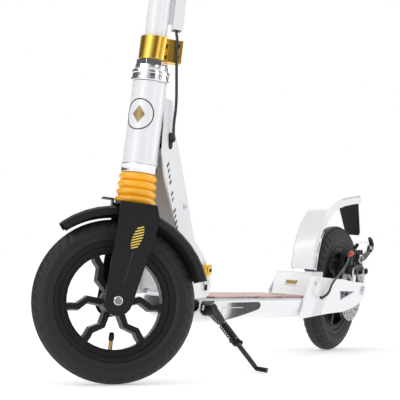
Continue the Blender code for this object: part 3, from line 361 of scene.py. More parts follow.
def slab(at, across, along, low, high):
    """Closed thin sheet on a curved surface: at(u, v, h) gives its points, u and v from 0 to 1."""
    layer = (across + 1) * (along + 1)
    verts = [at(i / across, j / along, h) for h in (low, high)
             for j in range(along + 1) for i in range(across + 1)]

    def spot(i, j, k):
        return k * layer + j * (across + 1) + i

    faces = [(spot(i, j, k), spot(i + 1, j, k), spot(i + 1, j + 1, k), spot(i, j + 1, k))
             for k in (0, 1) for j in range(along) for i in range(across)]
    edge = ([(i, 0) for i in range(across)] + [(across, j) for j in range(along)]
            + [(i, along) for i in range(across, 0, -1)] + [(0, j) for j in range(along, 0, -1)])
    for n, first in enumerate(edge):
        second = edge[(n + 1) % len(edge)]
        faces.append((spot(*first, 0), spot(*second, 0), spot(*second, 1), spot(*first, 1)))
    return verts, faces


def screw_shape(radius, height, socket=0.5, sides=24):
    """Button-head screw standing on z = 0 with a real hexagon socket."""
    hexagon = []
    for s in range(sides):
        turn = 2 * math.pi * s / sides
        in_sector = (turn % (math.pi / 3)) - math.pi / 6
        hexagon.append((turn, radius * socket * math.cos(math.pi / 6) / math.cos(in_sector)))
    rings = [[(r * math.cos(2 * math.pi * s / sides), r * math.sin(2 * math.pi * s / sides), z)
              for s in range(sides)]
             for r, z in ((radius, 0.0), (radius, height * 0.35), (radius * 0.93, height * 0.72),
                          (radius * 0.78, height))]
    rings += [[(r * math.cos(t), r * math.sin(t), z) for t, r in hexagon]
              for z in (height, height * 0.35)]
    return loft(rings)


def screw(name, place, radius, height, mat, body, socket=0.5):
    return piece(name, *screw_shape(radius, height, socket), mat, body, place, sharp=30)


def outward(x, y, z, side=1):
    """Frame at a point of the scooter whose Z points out to the left, or right where side is -1."""
    return BASE @ shift(x, side * y, z) @ rotate(-90 * side, "X")


def smooth_route(points, step):
    """Smooth curve through a route's points, with a point about every step."""
    pts = [Vector(p) for p in points]
    aims = [(pts[1] - pts[0]).normalized()]
    for a, b, c in zip(pts, pts[1:], pts[2:]):
        before, after = b - a, c - b
        aims.append((before.normalized() * after.length + after.normalized() * before.length)
                    / (before.length + after.length))
    aims.append((pts[-1] - pts[-2]).normalized())
    route = []
    for k in range(len(pts) - 1):
        reach = (pts[k + 1] - pts[k]).length
        pieces = max(1, round(reach / step))
        for s in range(pieces):
            t = s / pieces
            route.append((2 * t ** 3 - 3 * t ** 2 + 1) * pts[k] + (t ** 3 - 2 * t ** 2 + t) * reach * aims[k]
                         + (3 * t ** 2 - 2 * t ** 3) * pts[k + 1] + (t ** 3 - t ** 2) * reach * aims[k + 1])
    route.append(pts[-1])
    return route


def coil(radius, low, high, turns, per_turn=14):
    count = turns * per_turn
    return [(radius * math.cos(2 * math.pi * k / per_turn), radius * math.sin(2 * math.pi * k / per_turn),
             low + (high - low) * k / count) for k in range(count + 1)]


def deck_top(x):
    return 0.1360 + (x - 0.3456) * 0.0265


def deck_bottom(x):
    return 0.0932 + (x - 0.338) * 0.0159


def plate_y(z):
    """Half width of the front frame's outer faces at a height."""
    return 0.034 + (0.50 - z) * PLATE_FLARE


# ---------------------------------------------------------------- finishes of the CAD parts
# Material, width of the rounded edges, and the parts that have them.
FINISH = (
    (WHITE, 0.0, "deck_shell stem_tube"),
    (WOOD, 0.0005, "deck_grip"),
    (STEEL, 0.0004, "deck_knuckle front_axle"),
    (WHITE, 0.0012, "rear_box"),
    (WHITE, 0.0007, "rear_plate_left rear_plate_right"),
    (STEEL, 0.0, "rear_axle headset_bearing_upper headset_bearing_lower suspension_spring"),
    (WHITE, 0.0004, "rear_fender"),
    (RUBBER, 0.0005, "mudflap"),
    (BLACK, 0.0012, "caliper_body"),
    (BLACK, 0.0004, "caliper_screw_front caliper_screw_rear kickstand_leg"),
    (PLASTIC, 0.0, "brake_pad_inner brake_pad_outer brake_cable_deck brake_cable_frame brake_cable_steer"
                   " brake_cable_bar"),
    (RED, 0.0003, "adjuster_barrel"),
    (BLACK, 0.0005, "kickstand_bracket"),
    (BLACK, 0.0007, "caliper_arm height_collar fork"),
    (BLACK, 0.0, "kickstand_spring"),
    (RIM, 0.0006, "rear_rim front_rim"),
    (TYRE, 0.0, "rear_tyre front_tyre"),
    (RUBBER, 0.0, "rear_inner_tube slider_bush front_inner_tube grip_left grip_right"),
    (STEEL, 0.0003, "rear_bearing_left rear_bearing_right front_bearing_left front_bearing_right"),
    (ROTOR, 0.0, "brake_rotor"),
    (WHITE, 0.0006, "front_frame"),
    (STEEL, 0.0005, "fold_pivot_bolt"),
    (CHROME, 0.0, "upper_headset_cup lower_headset_cup"),
    (RUBBER, 0.0008, "cable_grommet"),
    (GOLD, 0.0010, "fold_lever"),
    (CHROME, 0.0008, "headset_locknut"),
    (GOLD, 0.0007, "stem_clamp"),
    (WHITE, 0.0005, "cable_duct"),
    (AMBER, 0.0, "bellows"),
    (PLASTIC, 0.0004, "front_fender"),
    (BRASS, 0.0003, "front_valve"),
    (CHROME, 0.0005, "handlebar"),
    (PLASTIC, 0.0007, "lever_bracket"),
    (BLACK, 0.0010, "brake_lever"),
    (PLASTIC, 0.0009, "height_lever"),
)


def finish_part(obj, mat, width):
    obj.data.materials.clear()
    obj.data.materials.append(mat)
    obj.data.polygons.foreach_set("use_smooth", [True] * len(obj.data.polygons))
    if width:
        soften(obj, width, weld=True)
    else:
        close_seams(obj)
        obj.modifiers.new("split", "EDGE_SPLIT").split_angle = BEVEL_ANGLE


for mat, width, names in FINISH:
    for name in names.split():
        finish_part(NODES[name], mat, width)


# ---------------------------------------------------------------- tyres
def tyre_shape():
    """Tyre with chevron tread blocks, shoulder slots and sidewall ridges."""
    blocks = 44
    per_block = 5
    lag = 1.6
    segments = blocks * per_block
    angles = [-126, -118, -110, -104, -101, -98, -92, -84, -80, -78, -74, -66, -58, -50, -44, -36, -28, -21,
              -17, -13, -6]
    angles = angles + [0] + [-a for a in reversed(angles)]
    inner = arc((0, 0), SECTION - 0.0032, 124, -124, 10)
    rings = []
    for s in range(segments):
        ring_points = []
        for deg in angles:
            lean = abs(deg)
            tread = lean < 60
            skew = lean / 60.0 * lag if tread else lag
            theta = 2 * math.pi * (s + skew) / segments
            radius = SECTION
            groove = s % per_block == 0
            if tread and groove and lean > 15:
                radius -= 0.0013
            if lean == 17:
                radius -= 0.0011
            if lean in (66, 58) and s % per_block in (0, 1):
                radius -= 0.0010
            if lean == 101:
                radius -= 0.0008
            if lean in (78, 80):
                radius += 0.00015
            if lean in (84, 74):
                radius -= 0.0006
            flat = 0.985 if lean < 8 else 1.0
            r = RING + radius * math.cos(math.radians(deg)) * flat
            y = radius * math.sin(math.radians(deg))
            ring_points.append((r * math.cos(theta), r * math.sin(theta), y))
        theta = 2 * math.pi * (s + lag) / segments
        ring_points += [((RING + a) * math.cos(theta), (RING + a) * math.sin(theta), b) for a, b in inner]
        rings.append(ring_points)
    rings.append(rings[0])
    return loft(rings, capped=False)


for side, place in WHEELS:
    tyre = piece(side + "_tyre_tread", *tyre_shape(), TYRE, side + "_wheel", place @ ALONG_Y, sharp=28)
    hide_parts(side + "_tyre")


# ---------------------------------------------------------------- suspension boot and headset
def make_suspension_looks():
    folds, per_fold = 4, 12
    low, high, wall = 0.1742, 0.2300, 0.0018
    outer = []
    for k in range(folds * per_fold + 1):
        t = k / (folds * per_fold)
        crest = 0.0372 - 0.0030 * t
        wave = abs(math.sin(math.pi * folds * t)) ** 0.62
        outer.append((crest - 0.0058 * (1.0 - wave), low + (high - low) * t))
    inner = [(r - wall, z) for r, z in reversed(outer)]
    boot = piece("boot", *ring(outer + inner, 72), AMBER, None, STEM, sharp=80)
    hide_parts("bellows")
    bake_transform(boot)
    lower = [(0.0215, 0.2295), (0.0306, 0.2295), (0.0322, 0.2305), (0.0326, 0.2320), (0.0326, 0.2420),
             (0.0334, 0.2432), (0.0334, 0.2452), (0.0326, 0.2460), (0.0215, 0.2460)]
    cup = piece("lower_cup", *ring(lower, 96), CHROME, "front_frame", STEM, sharp=40)
    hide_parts("lower_headset_cup")
    sleeve = [(0.0240, 0.2462), (0.0314, 0.2462), (0.0318, 0.2470), (0.0318, 0.2540), (0.0276, 0.2540),
              (0.0240, 0.2500)]
    piece("head_tube_end", *ring(sleeve, 96), WHITE, "front_frame", STEM, sharp=40)
    upper = [(0.0214, 0.3952), (0.0330, 0.3952), (0.0348, 0.3962), (0.0352, 0.3978), (0.0350, 0.4000),
             (0.0332, 0.4012), (0.0334, 0.4080), (0.0348, 0.4094), (0.0348, 0.4140), (0.0338, 0.4154),
             (0.0318, 0.4164), (0.0306, 0.4196), (0.0302, 0.4240), (0.0214, 0.4240)]
    top = piece("upper_cup", *ring(upper, 96), CHROME, "front_frame", STEM, sharp=40)
    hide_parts("upper_headset_cup")


def make_suspension_coil():
    path = coil(0.0185, 0.1760, 0.2290, 6, 16)
    spring = piece("suspension_coil", *bar(path, 0.0020, 10), STEEL, None, STEM, sharp=80)
    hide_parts("suspension_spring")
    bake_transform(spring)


def make_clamp_bolts():
    for k, height in enumerate((0.4470, 0.4665)):
        place = STEM @ shift(-0.0410, 0.0111, height) @ ALONG_Y
        screw("clamp_bolt_%d" % (k + 1), place, 0.0042, 0.0030, BLACK, "steering", 0.55)
        nut_place = STEM @ shift(-0.0410, -0.0111, height) @ rotate(90, "X")
        piece("clamp_nut_%d" % (k + 1), *turned([(0.0046, 0), (0.0046, 0.0030), (0.0022, 0.0034)], 6),
              STEEL, "steering", nut_place, sharp=25)


# ---------------------------------------------------------------- marks: plain bands, rings and dashes only
def make_head_ring():
    radius, centre, facing = 0.0315, 0.3330, math.radians(58.0)

    def on_tube(a, b, h):
        turn = facing + a / radius
        return ((radius + h) * math.cos(turn), (radius + h) * math.sin(turn), centre + b)

    def band(u, v, h):
        turn = 2 * math.pi * v
        r = 0.0262 + 0.0020 * u
        return on_tube(r * math.sin(turn), r * math.cos(turn), h)

    def diamond(u, v, h):
        a, b = 2 * u - 1, 2 * v - 1
        return on_tube(0.0058 * (a - b), 0.0078 * (a + b), h)

    piece("head_ring", *slab(band, 1, 72, -0.0002, 0.0003), DARK_PRINT, "front_frame", STEM)
    piece("head_diamond", *slab(diamond, 6, 6, -0.0002, 0.0003), GOLD_PRINT, "front_frame", STEM)


def make_frame_dashes():
    start, end = Vector((0.9830, 0.3960)), Vector((0.9370, 0.2540))
    along = (end - start).normalized()
    across = Vector((-along.y, along.x))
    lengths = (0.9, 0.6, 0.6, 0.8, 0.0, 0.7, 0.5, 0.0, 0.9, 0.6, 0.8, 0.6, 0.9, 0.5)
    for side, name in SIDES:
        shapes = []
        for k, size in enumerate(lengths):
            if not size:
                continue
            middle = start + (end - start) * (k + 0.5) / len(lengths)

            def dash(u, v, h):
                spot = (middle + across * (u - 0.5) * 0.0120 * size
                        + along * ((v - 0.5) * 0.0046 + (u - 0.5) * 0.004))
                return (spot.x, side * (plate_y(spot.y) + h), spot.y)

            shapes.append(slab(dash, 2, 1, -0.0002, 0.0003))
        piece("frame_dashes_" + name, *merge(*shapes), DARK_PRINT, "front_frame", BASE)


def slanted_bars(count, length, width, slant, share):
    """Outlines of slanted bars that together fill a pointed oval."""
    bars = []
    for k in range(count):
        s = (k + 0.5) / count * 2 - 1
        half = width * math.sqrt(1 - (0.93 * s) ** 2)
        mid = s * length
        thick = length / count * share
        bars.append([(-half, mid - thick - half * slant), (half, mid - thick + half * slant),
                     (half, mid + thick + half * slant), (-half, mid + thick - half * slant)])
    return bars


def make_fork_marks():
    lean = math.atan2(0.0076, 0.0416)
    turn = Matrix.Rotation(lean, 2)
    for side, name in SIDES:
        low, high = sorted((side * 0.0543, side * 0.0548))
        bars = []
        for outline in slanted_bars(8, 0.0205, 0.0088, -0.60, 0.46):
            points = [turn @ Vector(p) + Vector((-0.0045, 0.1130)) for p in outline]
            bars.append(prism([tuple(p) for p in points], low, high))
        piece("fork_bars_" + name, *merge(*bars), YELLOW, "fork", STEM)
        line = prism([(-0.0008, 0.0880), (0.0012, 0.0880), (0.0100, 0.0300), (0.0086, 0.0300)], low, high)
        piece("fork_line_" + name, *line, DARK_PRINT, "fork", STEM)


def make_box_badge():
    slope = math.atan2(0.0200, 0.1865 - 0.1344)
    place = (BASE @ shift(0.2490, 0.0, 0.1640) @ Matrix.Rotation(-slope, 4, "Y")
             @ rotate(90, "Z") @ rotate(90, "X"))
    back = prism([(-0.0125, -0.0045), (0.0100, -0.0045), (0.0140, 0.0045), (-0.0125, 0.0045)],
                 0.0, 0.0006, "XY")
    piece("box_badge", *back, YELLOW, "deck", place)
    bars = [prism([(x, -0.0036), (x + 0.0030, -0.0036), (x + 0.0052, 0.0036), (x + 0.0022, 0.0036)],
                  0.0004, 0.0009, "XY") for x in (-0.0135, -0.0082, -0.0029, 0.0024, 0.0077)]
    piece("box_badge_bars", *merge(*bars), DARK_PRINT, "deck", place)
    # Grey line below the badge, drawn in the painted-shade grey.
    piece("box_badge_line", *prism([(-0.0160, -0.0078), (0.0120, -0.0078), (0.0120, -0.0068),
                                    (-0.0160, -0.0068)], 0.0, 0.0005, "XY"), PAINTED_SHADE, "deck", place)


def flash_material():
    """Black that fades to the deck's white towards the front."""
    mat = grain(new_material("flash_print", (0.5, 0.5, 0.5), 0.36, specular=0.25), 260, 0.0, 0.05, 0.05)
    shader = mat.node_tree.nodes["Principled BSDF"]
    coords = add(mat, "ShaderNodeTexCoord")
    axes = add(mat, "ShaderNodeSeparateXYZ")
    ramp = add(mat, "ShaderNodeValToRGB")
    span = add(mat, "ShaderNodeMapRange")
    span.inputs["From Min"].default_value = 0.668
    span.inputs["From Max"].default_value = 0.728
    stops = ramp.color_ramp.elements
    stops[0].color = (0.006, 0.006, 0.007, 1)
    stops[1].color = (0.80, 0.81, 0.83, 1)
    middle = stops.new(0.5)
    middle.color = (0.07, 0.07, 0.075, 1)
    link(mat, coords, "Object", axes, "Vector")
    link(mat, axes, "X", span, "Value")
    link(mat, span, "Result", ramp, "Fac")
    link(mat, ramp, "Color", shader, "Base Color")
    return mat


def deck_side(x, z):
    """Half width of the deck shell at a height."""
    low, top = deck_bottom(x), deck_top(x)
    upright = low + 0.55 * (top - low)
    if z >= upright:
        return 0.060
    rise = max(0.0, (z - low) / (upright - low))
    return 0.060 - 0.022 * (1 - math.sqrt(1 - (1 - rise) ** 2))


def make_deck_flash():
    mat = flash_material()
    rear, front, nose = 0.5590, 0.7450, 0.0140
    for side, name in SIDES:
        def flash(u, v, h):
            x = rear + (front - rear) * u ** 1.4
            top = 0.1352 + 0.0224 * (x - 0.583)
            low = 0.1205 - 0.1250 * (x - 0.5656)
            round_end = math.sqrt(max(0.0, 1 - (max(0.0, rear + nose - x) / nose) ** 2))
            z = (top + low) / 2 + (v - 0.5) * (top - low) * max(0.08, round_end)
            return (x, side * (deck_side(x, z) + h), z)

        piece("deck_flash_" + name, *slab(flash, 36, 14, -0.0001, 0.0004), mat, "deck", BASE)

        # A thin line in the painted-shade grey stands for the shade inside a slit along the deck side.
        def slit_shade(u, v, h):
            x = 0.6480 + (0.7420 - 0.6480) * u
            z = 0.1265 + 0.0026 * u + (v - 0.5) * 0.0017
            return (x, side * (deck_side(x, z) + h), z)

        piece("deck_slit_shade_" + name, *slab(slit_shade, 12, 1, 0.0002, 0.0007), PAINTED_SHADE, "deck", BASE)


# ---------------------------------------------------------------- fittings of the frame and deck
def make_frame_fittings():
    for side, name in SIDES:
        screw("frame_button_" + name, outward(0.9140, plate_y(0.3176), 0.3176, side),
              0.0052, 0.0024, STEEL, "front_frame")
        screw("pivot_screw_" + name, outward(PIVOT[0], 0.0640, PIVOT[1], side), 0.0050, 0.0016, STEEL,
              "front_frame")
    screw("plate_screw", outward(0.2734, 0.0650, 0.1664), 0.0056, 0.0020, STEEL, "deck", 0.6)
    piece("lock_stud", *turned([(0.0018, -0.017), (0.0026, -0.015), (0.0026, -0.006), (0.0014, -0.004)], 20),
          BLACK, "front_frame", BASE @ shift(PIVOT[0], 0.0615, PIVOT[1]))
    x, z = LOCK
    low = plate_y(z - 0.02) + 0.0096
    cap = [(x - 0.0060, z - 0.0085), (x + 0.0052, z - 0.0070), (x + 0.0092, z + 0.0030),
           (x + 0.0060, z + 0.0080), (x - 0.0078, z + 0.0080), (x - 0.0088, z + 0.0010)]
    piece("lock_cam_cap", *prism(cap, low, low + 0.0022), GOLD, "fold_lever", BASE, bevel=0.0009)
    screw("lock_cam_pin", outward(x, low + 0.0022, z, 1), 0.0036, 0.0014, BLACK, "fold_lever")


def make_recess_shade():
    """Sheet of painted shade in the channel behind the head tube, between the side plates."""
    line = [(0.9500, 0.4080), (0.9400, 0.3700), (0.9200, 0.3180), (0.9020, 0.2800), (0.8870, 0.2450),
            (0.8760, 0.2100)]

    def shade_sheet(u, v, h):
        place = v * (len(line) - 1)
        k = min(int(place), len(line) - 2)
        x, z = Vector(line[k]).lerp(Vector(line[k + 1]), place - k)
        return (x + 0.0022 + h, (2 * u - 1) * (plate_y(z) - 0.0045), z)

    piece("frame_recess_shade", *slab(shade_sheet, 4, 20, 0.0, 0.0006), PAINTED_SHADE, "front_frame", BASE)


def make_duct_liner():
    shape = prism([(-0.0440, -0.0110), (-0.0290, -0.0110), (-0.0290, 0.0110), (-0.0440, 0.0110)],
                  0.4975, 0.4990, "XY")
    piece("duct_mouth", *shape, PLASTIC, "steering", STEM, bevel=0.0003)


# ---------------------------------------------------------------- wheels
def make_wheel_trim():
    lip = arc((0.0988, 0.0178), 0.0010, 0, 330, 11)
    bead = arc((0.0872, 0.0152), 0.0009, 0, 330, 11)
    for side, place in WHEELS:
        hoops = []
        for profile in (lip, bead):
            hoops.append(ring(profile, 96))
            hoops.append(ring([(r, -h) for r, h in profile], 96))
        piece(side + "_rim_lips", *merge(*hoops), RIM, side + "_wheel", place @ ALONG_Y, sharp=60)


def make_valve():
    angle = math.radians(-93.0)
    foot = 0.0835
    place = (FRONT @ shift(foot * math.cos(angle), 0.0, foot * math.sin(angle))
             @ Matrix.Rotation(-angle - math.pi / 2, 4, "Y") @ rotate(-4, "Y")
             @ rotate(12, "X"))
    threads = []
    for k in range(6):
        z = 0.0020 + 0.0020 * k
        threads += [(0.0036, z), (0.0039, z + 0.0005), (0.0036, z + 0.0010)]
    stem = [(0.0036, -0.001)] + threads + [(0.0036, 0.0150), (0.0028, 0.0158), (0.0028, 0.0200)]
    core = piece("valve_stem", *turned(stem, 24), BRASS, "front_wheel", place, sharp=50)
    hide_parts("front_valve")
    cap = [(0.0046, 0.0165), (0.0049, 0.0175), (0.0049, 0.0240), (0.0042, 0.0290), (0.0030, 0.0302)]
    piece("valve_cap", *turned(cap, 24), PLASTIC, "front_wheel", place, sharp=50)


def make_axle_ends():
    for side, name in SIDES:
        place = FRONT @ shift(0, side * 0.0586, 0) @ rotate(-90 * side, "X")
        screw("front_axle_end_" + name, place, 0.0086, 0.0036, STEEL, "fork", 0.48)
        place = REAR @ shift(0, side * 0.0790, 0) @ rotate(-90 * side, "X")
        piece("rear_axle_nut_" + name,
              *turned([(0.0102, 0.0), (0.0102, 0.0032), (0.0090, 0.0042)], 6), STEEL, "deck", place, 25)


def make_rotor():
    """Drilled brake disc with a six-armed carrier."""
    curve = bpy.data.curves.new("rotor_outline", "CURVE")
    curve.dimensions = "2D"
    curve.fill_mode = "BOTH"
    curve.extrude = 0.0010

    def loop(points):
        spline = curve.splines.new("POLY")
        spline.points.add(len(points) - 1)
        for target, (a, b) in zip(spline.points, points):
            target.co = (a, b, 0, 1)
        spline.use_cyclic_u = True

    loop(arc((0, 0), 0.0725, 0, 360, 96)[:-1])
    loop(arc((0, 0), 0.0120, 0, 360, 32)[:-1])
    for k in range(6):
        start, end = 60 * k + 14, 60 * k + 60
        window = [(0.0460 * math.cos(math.radians(a)), 0.0460 * math.sin(math.radians(a)))
                  for a in range(start, end + 1, 5)]
        window += [(0.0260 * math.cos(math.radians(a)), 0.0260 * math.sin(math.radians(a)))
                   for a in range(end - 18, start - 19, -7)]
        loop(window)
    for k in range(18):
        for radius, phase, hole in ((0.0535, 0, 0.0028), (0.0600, 7, 0.0024), (0.0662, 14, 0.0028)):
            turn = math.radians(20 * k + phase)
            loop(arc((radius * math.cos(turn), radius * math.sin(turn)), hole, 0, 360, 12)[:-1])
    drawn = in_scene(bpy.data.objects.new("rotor_outline", curve))
    mesh = bpy.data.meshes.new_from_object(drawn.evaluated_get(bpy.context.evaluated_depsgraph_get()))
    verts = [tuple(v.co) for v in mesh.vertices]
    faces = [tuple(p.vertices) for p in mesh.polygons]
    bpy.data.objects.remove(drawn)
    disc = piece("brake_disc", verts, faces, ROTOR, "rear_wheel",
                 REAR @ shift(0, 0.0513, 0) @ ALONG_Y, sharp=30)
    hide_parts("brake_rotor")


# ---------------------------------------------------------------- brake caliper
def make_caliper_looks():
    for name, x in (("front", 0.0580), ("rear", -0.0120)):
        piece("caliper_washer_" + name, *turned([(0.0078, 0.0), (0.0082, 0.0006), (0.0078, 0.0012)], 32),
              BLACK, "deck", outward(x, 0.0783, 0.1900))
    screw("arm_pivot_screw", outward(0.012, 0.0712, 0.2180), 0.0070, 0.0040, BLACK, "caliper_arm")
    piece("arm_spring", *bar(coil(0.0098, 0.0004, 0.0050, 3), 0.0008, 8), STEEL, "caliper_arm",
          outward(0.012, 0.0712, 0.2180), sharp=80)
    screw("arm_pinch_screw", outward(-0.0565, 0.0712, 0.2440), 0.0042, 0.0044, STEEL, "caliper_arm")
    piece("arm_hook", *bar([(-0.060, 0.069, 0.236), (-0.066, 0.070, 0.242), (-0.068, 0.070, 0.252),
                            (-0.062, 0.069, 0.262), (-0.054, 0.069, 0.266)],
                           [0.0050, 0.0058, 0.0056, 0.0052, 0.0040], 14), BLACK, "caliper_arm", BASE)
    boot = []
    for k in range(5):
        boot += [(0.0044, 0.0040 * k), (0.0026, 0.0040 * k + 0.0020)]
    place = BASE @ shift(0.0440, 0.0690, 0.2434) @ rotate(-62, "Y")
    piece("wire_boot", *turned(boot, 20), RUBBER, "deck", place, sharp=60)
    wire = piece("brake_wire", *bar([(0.0440, 0.0690, 0.2434), (0.0200, 0.0720, 0.2560),
                                     (-0.0200, 0.0740, 0.2570), (-0.0565, 0.0740, 0.2440)],
                                    0.0008, 8), STEEL, None, BASE)
    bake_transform(wire)
    ribs = []
    for k in range(4):
        x = -0.018 + 0.017 * k
        ribs.append(prism([(x, 0.2050), (x + 0.0050, 0.2050), (x + 0.0050, 0.2385), (x, 0.2385)],
                          0.0560, 0.0672))
    piece("caliper_ribs", *merge(*ribs), BLACK, "deck", BASE, bevel=0.0006)
    knob = []
    for k in range(24):
        r = 0.0062 if k % 2 else 0.0054
        knob.append((r * math.cos(2 * math.pi * k / 24), r * math.sin(2 * math.pi * k / 24)))
    piece("adjuster_wheel", *prism(knob, 0.0025, 0.0075, "XY"), RED, "deck",
          BASE @ shift(0.0620, 0.0690, 0.2340) @ rotate(118, "Y"))


# ---------------------------------------------------------------- side stand
STAND_PIVOT = Vector((0.8230, 0.0735, 0.1290))
STAND_KNEE = Vector((0.7000, 0.1200))
STAND_BAR = 0.0048


def make_stand_looks():
    ground = (STAND_BAR - LIFT + (STAND_KNEE.y + 0.0220) * math.sin(LEAN)) / math.cos(LEAN)
    knee = Vector((STAND_KNEE.x, STAND_KNEE.y, ground + 0.0010))
    down = (knee - STAND_PIVOT).normalized()
    along = BASE @ Matrix.Translation(STAND_PIVOT) @ down.to_track_quat("Z", "Y").to_matrix().to_4x4()
    block = [[(-w, -d, z), (w, -d, z), (w, d, z), (-w, d, z)]
             for w, d, z in ((0.0080, 0.0074, -0.0080), (0.0088, 0.0080, 0.0020), (0.0080, 0.0076, 0.0200),
                             (0.0068, 0.0068, 0.0330), (0.0062, 0.0062, 0.0370))]
    piece("stand_knuckle", *loft(block), BLACK, "kickstand", along, bevel=0.0016)
    thick = piece("stand_spring", *bar(coil(0.0076, 0.0395, 0.0880, 8), 0.0013, 8), BLACK, "kickstand",
                  along, sharp=80)
    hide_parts("kickstand_spring")
    lug = [(-0.0150, 0.0890), (0.0150, 0.0890), (0.0165, 0.0925), (0.0150, 0.0965), (-0.0150, 0.0965),
           (-0.0165, 0.0925)]
    piece("stand_lugs", *prism(lug, -0.0035, 0.0035), BLACK, "kickstand", along, bevel=0.0010)
    for k, (x, z, radius) in enumerate(((0.8378, 0.1325, 0.0050), (0.7935, 0.1372, 0.0040))):
        screw("stand_screw_%d" % (k + 1), outward(x, 0.0624, z), radius, 0.0026, STEEL, "deck")


# ---------------------------------------------------------------- bars
def make_grips():
    for side, name in SIDES:
        profile = [(0.0116, 0.1452), (0.0180, 0.1450), (0.0192, 0.1458), (0.0192, 0.1484), (0.0182, 0.1495)]
        for k in range(20):
            y = 0.1530 + 0.0052 * k
            profile += [(0.0158, y), (0.0166, y + 0.0010), (0.0166, y + 0.0034), (0.0158, y + 0.0044)]
        profile += [(0.0182, 0.2610), (0.0187, 0.2630), (0.0187, 0.2695), (0.0176, 0.2718), (0.0062, 0.2726),
                    (0.0062, 0.2660), (0.0116, 0.2654)]
        flip = Matrix.Identity(4) if side > 0 else rotate(180, "X")
        grip = piece("grip_sleeve_" + name, *ring(profile, 40), RUBBER, "handlebar",
                     STEM @ shift(0, 0, BAR_U) @ flip @ ALONG_Y, sharp=30)
        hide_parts("grip_" + name)


# ---------------------------------------------------------------- brake cable: three of its four stretches remade
CABLE_R = 0.0026


def make_cable(name, node, place, points, step, body=None):
    """Housing along a route, in place of the CAD part it hides."""
    route = smooth_route(points, step)
    cable = piece(name, *bar(route, CABLE_R, 12), CABLE, body, place, sharp=80)
    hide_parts(node)
    return cable, route


def make_cables():
    into_frame = [(0.9745, 0.0470, 0.4900), (0.9790, 0.0475, 0.4640), (0.9790, 0.0480, 0.4450),
                  (0.9722, plate_y(0.434) + 0.0071, 0.4345), (0.9722, plate_y(0.434) + 0.0031, 0.4340)]
    stem_local = BASE.inverted() @ STEM
    duct = [stem_local @ Vector(p) for p in ((-0.0350, 0.0070, 0.5068), (-0.0352, 0.0078, 0.4950),
                                             (-0.0375, 0.0150, 0.4780), (-0.0395, 0.0170, 0.4500),
                                             (-0.0430, 0.0170, 0.4200))]
    steer, route = make_cable("cable_steer", "brake_cable_steer", BASE, duct + into_frame, 0.005)
    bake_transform(steer)
    along_bar = [(0.0400, -0.1000, BAR_U + 0.0005), (0.0520, -0.0700, BAR_U + 0.0040),
                 (0.0540, -0.0300, BAR_U - 0.0050), (0.0460, 0.0150, BAR_U - 0.0450),
                 (0.0250, 0.0450, BAR_U - 0.1000), (-0.0080, 0.0520, BAR_U - 0.1600),
                 (-0.0400, 0.0420, BAR_U - 0.2000), (-0.0500, 0.0250, BAR_U - 0.2250),
                 (-0.0400, 0.0080, BAR_U - 0.2520), (-0.0350, 0.0060, BAR_U - 0.2700),
                 (-0.0350, 0.0060, 0.5800), (-0.0350, 0.0070, 0.5070)]
    upper = make_cable("cable_bar", "brake_cable_bar", STEM, along_bar, 0.008)[0]
    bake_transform(upper)
    under_deck = [(0.8385, 0.0000, 0.1806), (0.8388, 0.0000, 0.1760), (0.8560, 0.0000, 0.1620),
                  (0.8575, 0.0000, 0.1480), (0.8520, 0.0000, 0.1360), (0.8400, 0.0000, 0.1290),
                  (0.8000, 0.0000, 0.1260), (0.7000, 0.0100, 0.1220), (0.5500, 0.0250, 0.1180),
                  (0.4000, 0.0380, 0.1140), (0.3300, 0.0420, 0.1160), (0.2850, 0.0440, 0.1190),
                  (0.2620, 0.0490, 0.1250), (0.2500, 0.0560, 0.1310), (0.2443, 0.0650, 0.1345),
                  (0.2436, 0.0745, 0.1362), (0.2390, 0.0815, 0.1430), (0.2200, 0.0838, 0.1640),
                  (0.1610, 0.0838, 0.1925), (0.1277, 0.0800, 0.2061), (0.0860, 0.0720, 0.2225)]
    make_cable("cable_deck", "brake_cable_deck", BASE, under_deck, 0.008, "deck")


def make_right_plate():
    """Side plate of the right, low beside the deck, with its window and axle hole cut through."""
    thick = 0.004
    stations = [(0.318, 0.1380, 0.352, 0.0975, 0.065), (0.262, 0.1370, 0.330, 0.0925, 0.065),
                (0.224, 0.1360, 0.285, 0.0940, 0.065), (0.198, 0.1380, 0.262, 0.0985, 0.078),
                (0.1500, 0.1735, 0.1950, 0.1000, 0.078), (0.0900, 0.1690, 0.1300, 0.1000, 0.078),
                (0.0400, 0.1650, 0.0600, 0.1065, 0.078), (0.0000, 0.1635, 0.0050, 0.1180, 0.078),
                (-0.0180, 0.1590, -0.0180, 0.1300, 0.078)]
    rings = [[(top_x, -out, top_z), (low_x, -out, low_z), (low_x, thick - out, low_z),
              (top_x, thick - out, top_z)] for top_x, top_z, low_x, low_z, out in stations]
    plate = piece("right_side_plate", *loft(rings), WHITE, None, BASE, sharp=20)
    window = prism([(0.148, 0.1475), (0.052, 0.1440), (0.144, 0.1265)], -0.1, -0.05)
    hole = prism(arc((0.0, WHEEL_R), 0.0056, 0, 360, 25)[:-1], -0.1, -0.05)
    cutter = piece("plate_cutter", *merge(window, hole), WHITE, None, BASE)
    cut = plate.modifiers.new("cut", "BOOLEAN")
    cut.operation = "DIFFERENCE"
    cut.object = cutter
    solved = bpy.data.meshes.new_from_object(plate.evaluated_get(bpy.context.evaluated_depsgraph_get()))
    plate.modifiers.clear()
    plate.data = solved
    bpy.data.objects.remove(cutter)
    soften(plate, 0.0007)
    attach(plate, "deck")
    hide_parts("rear_plate_right")


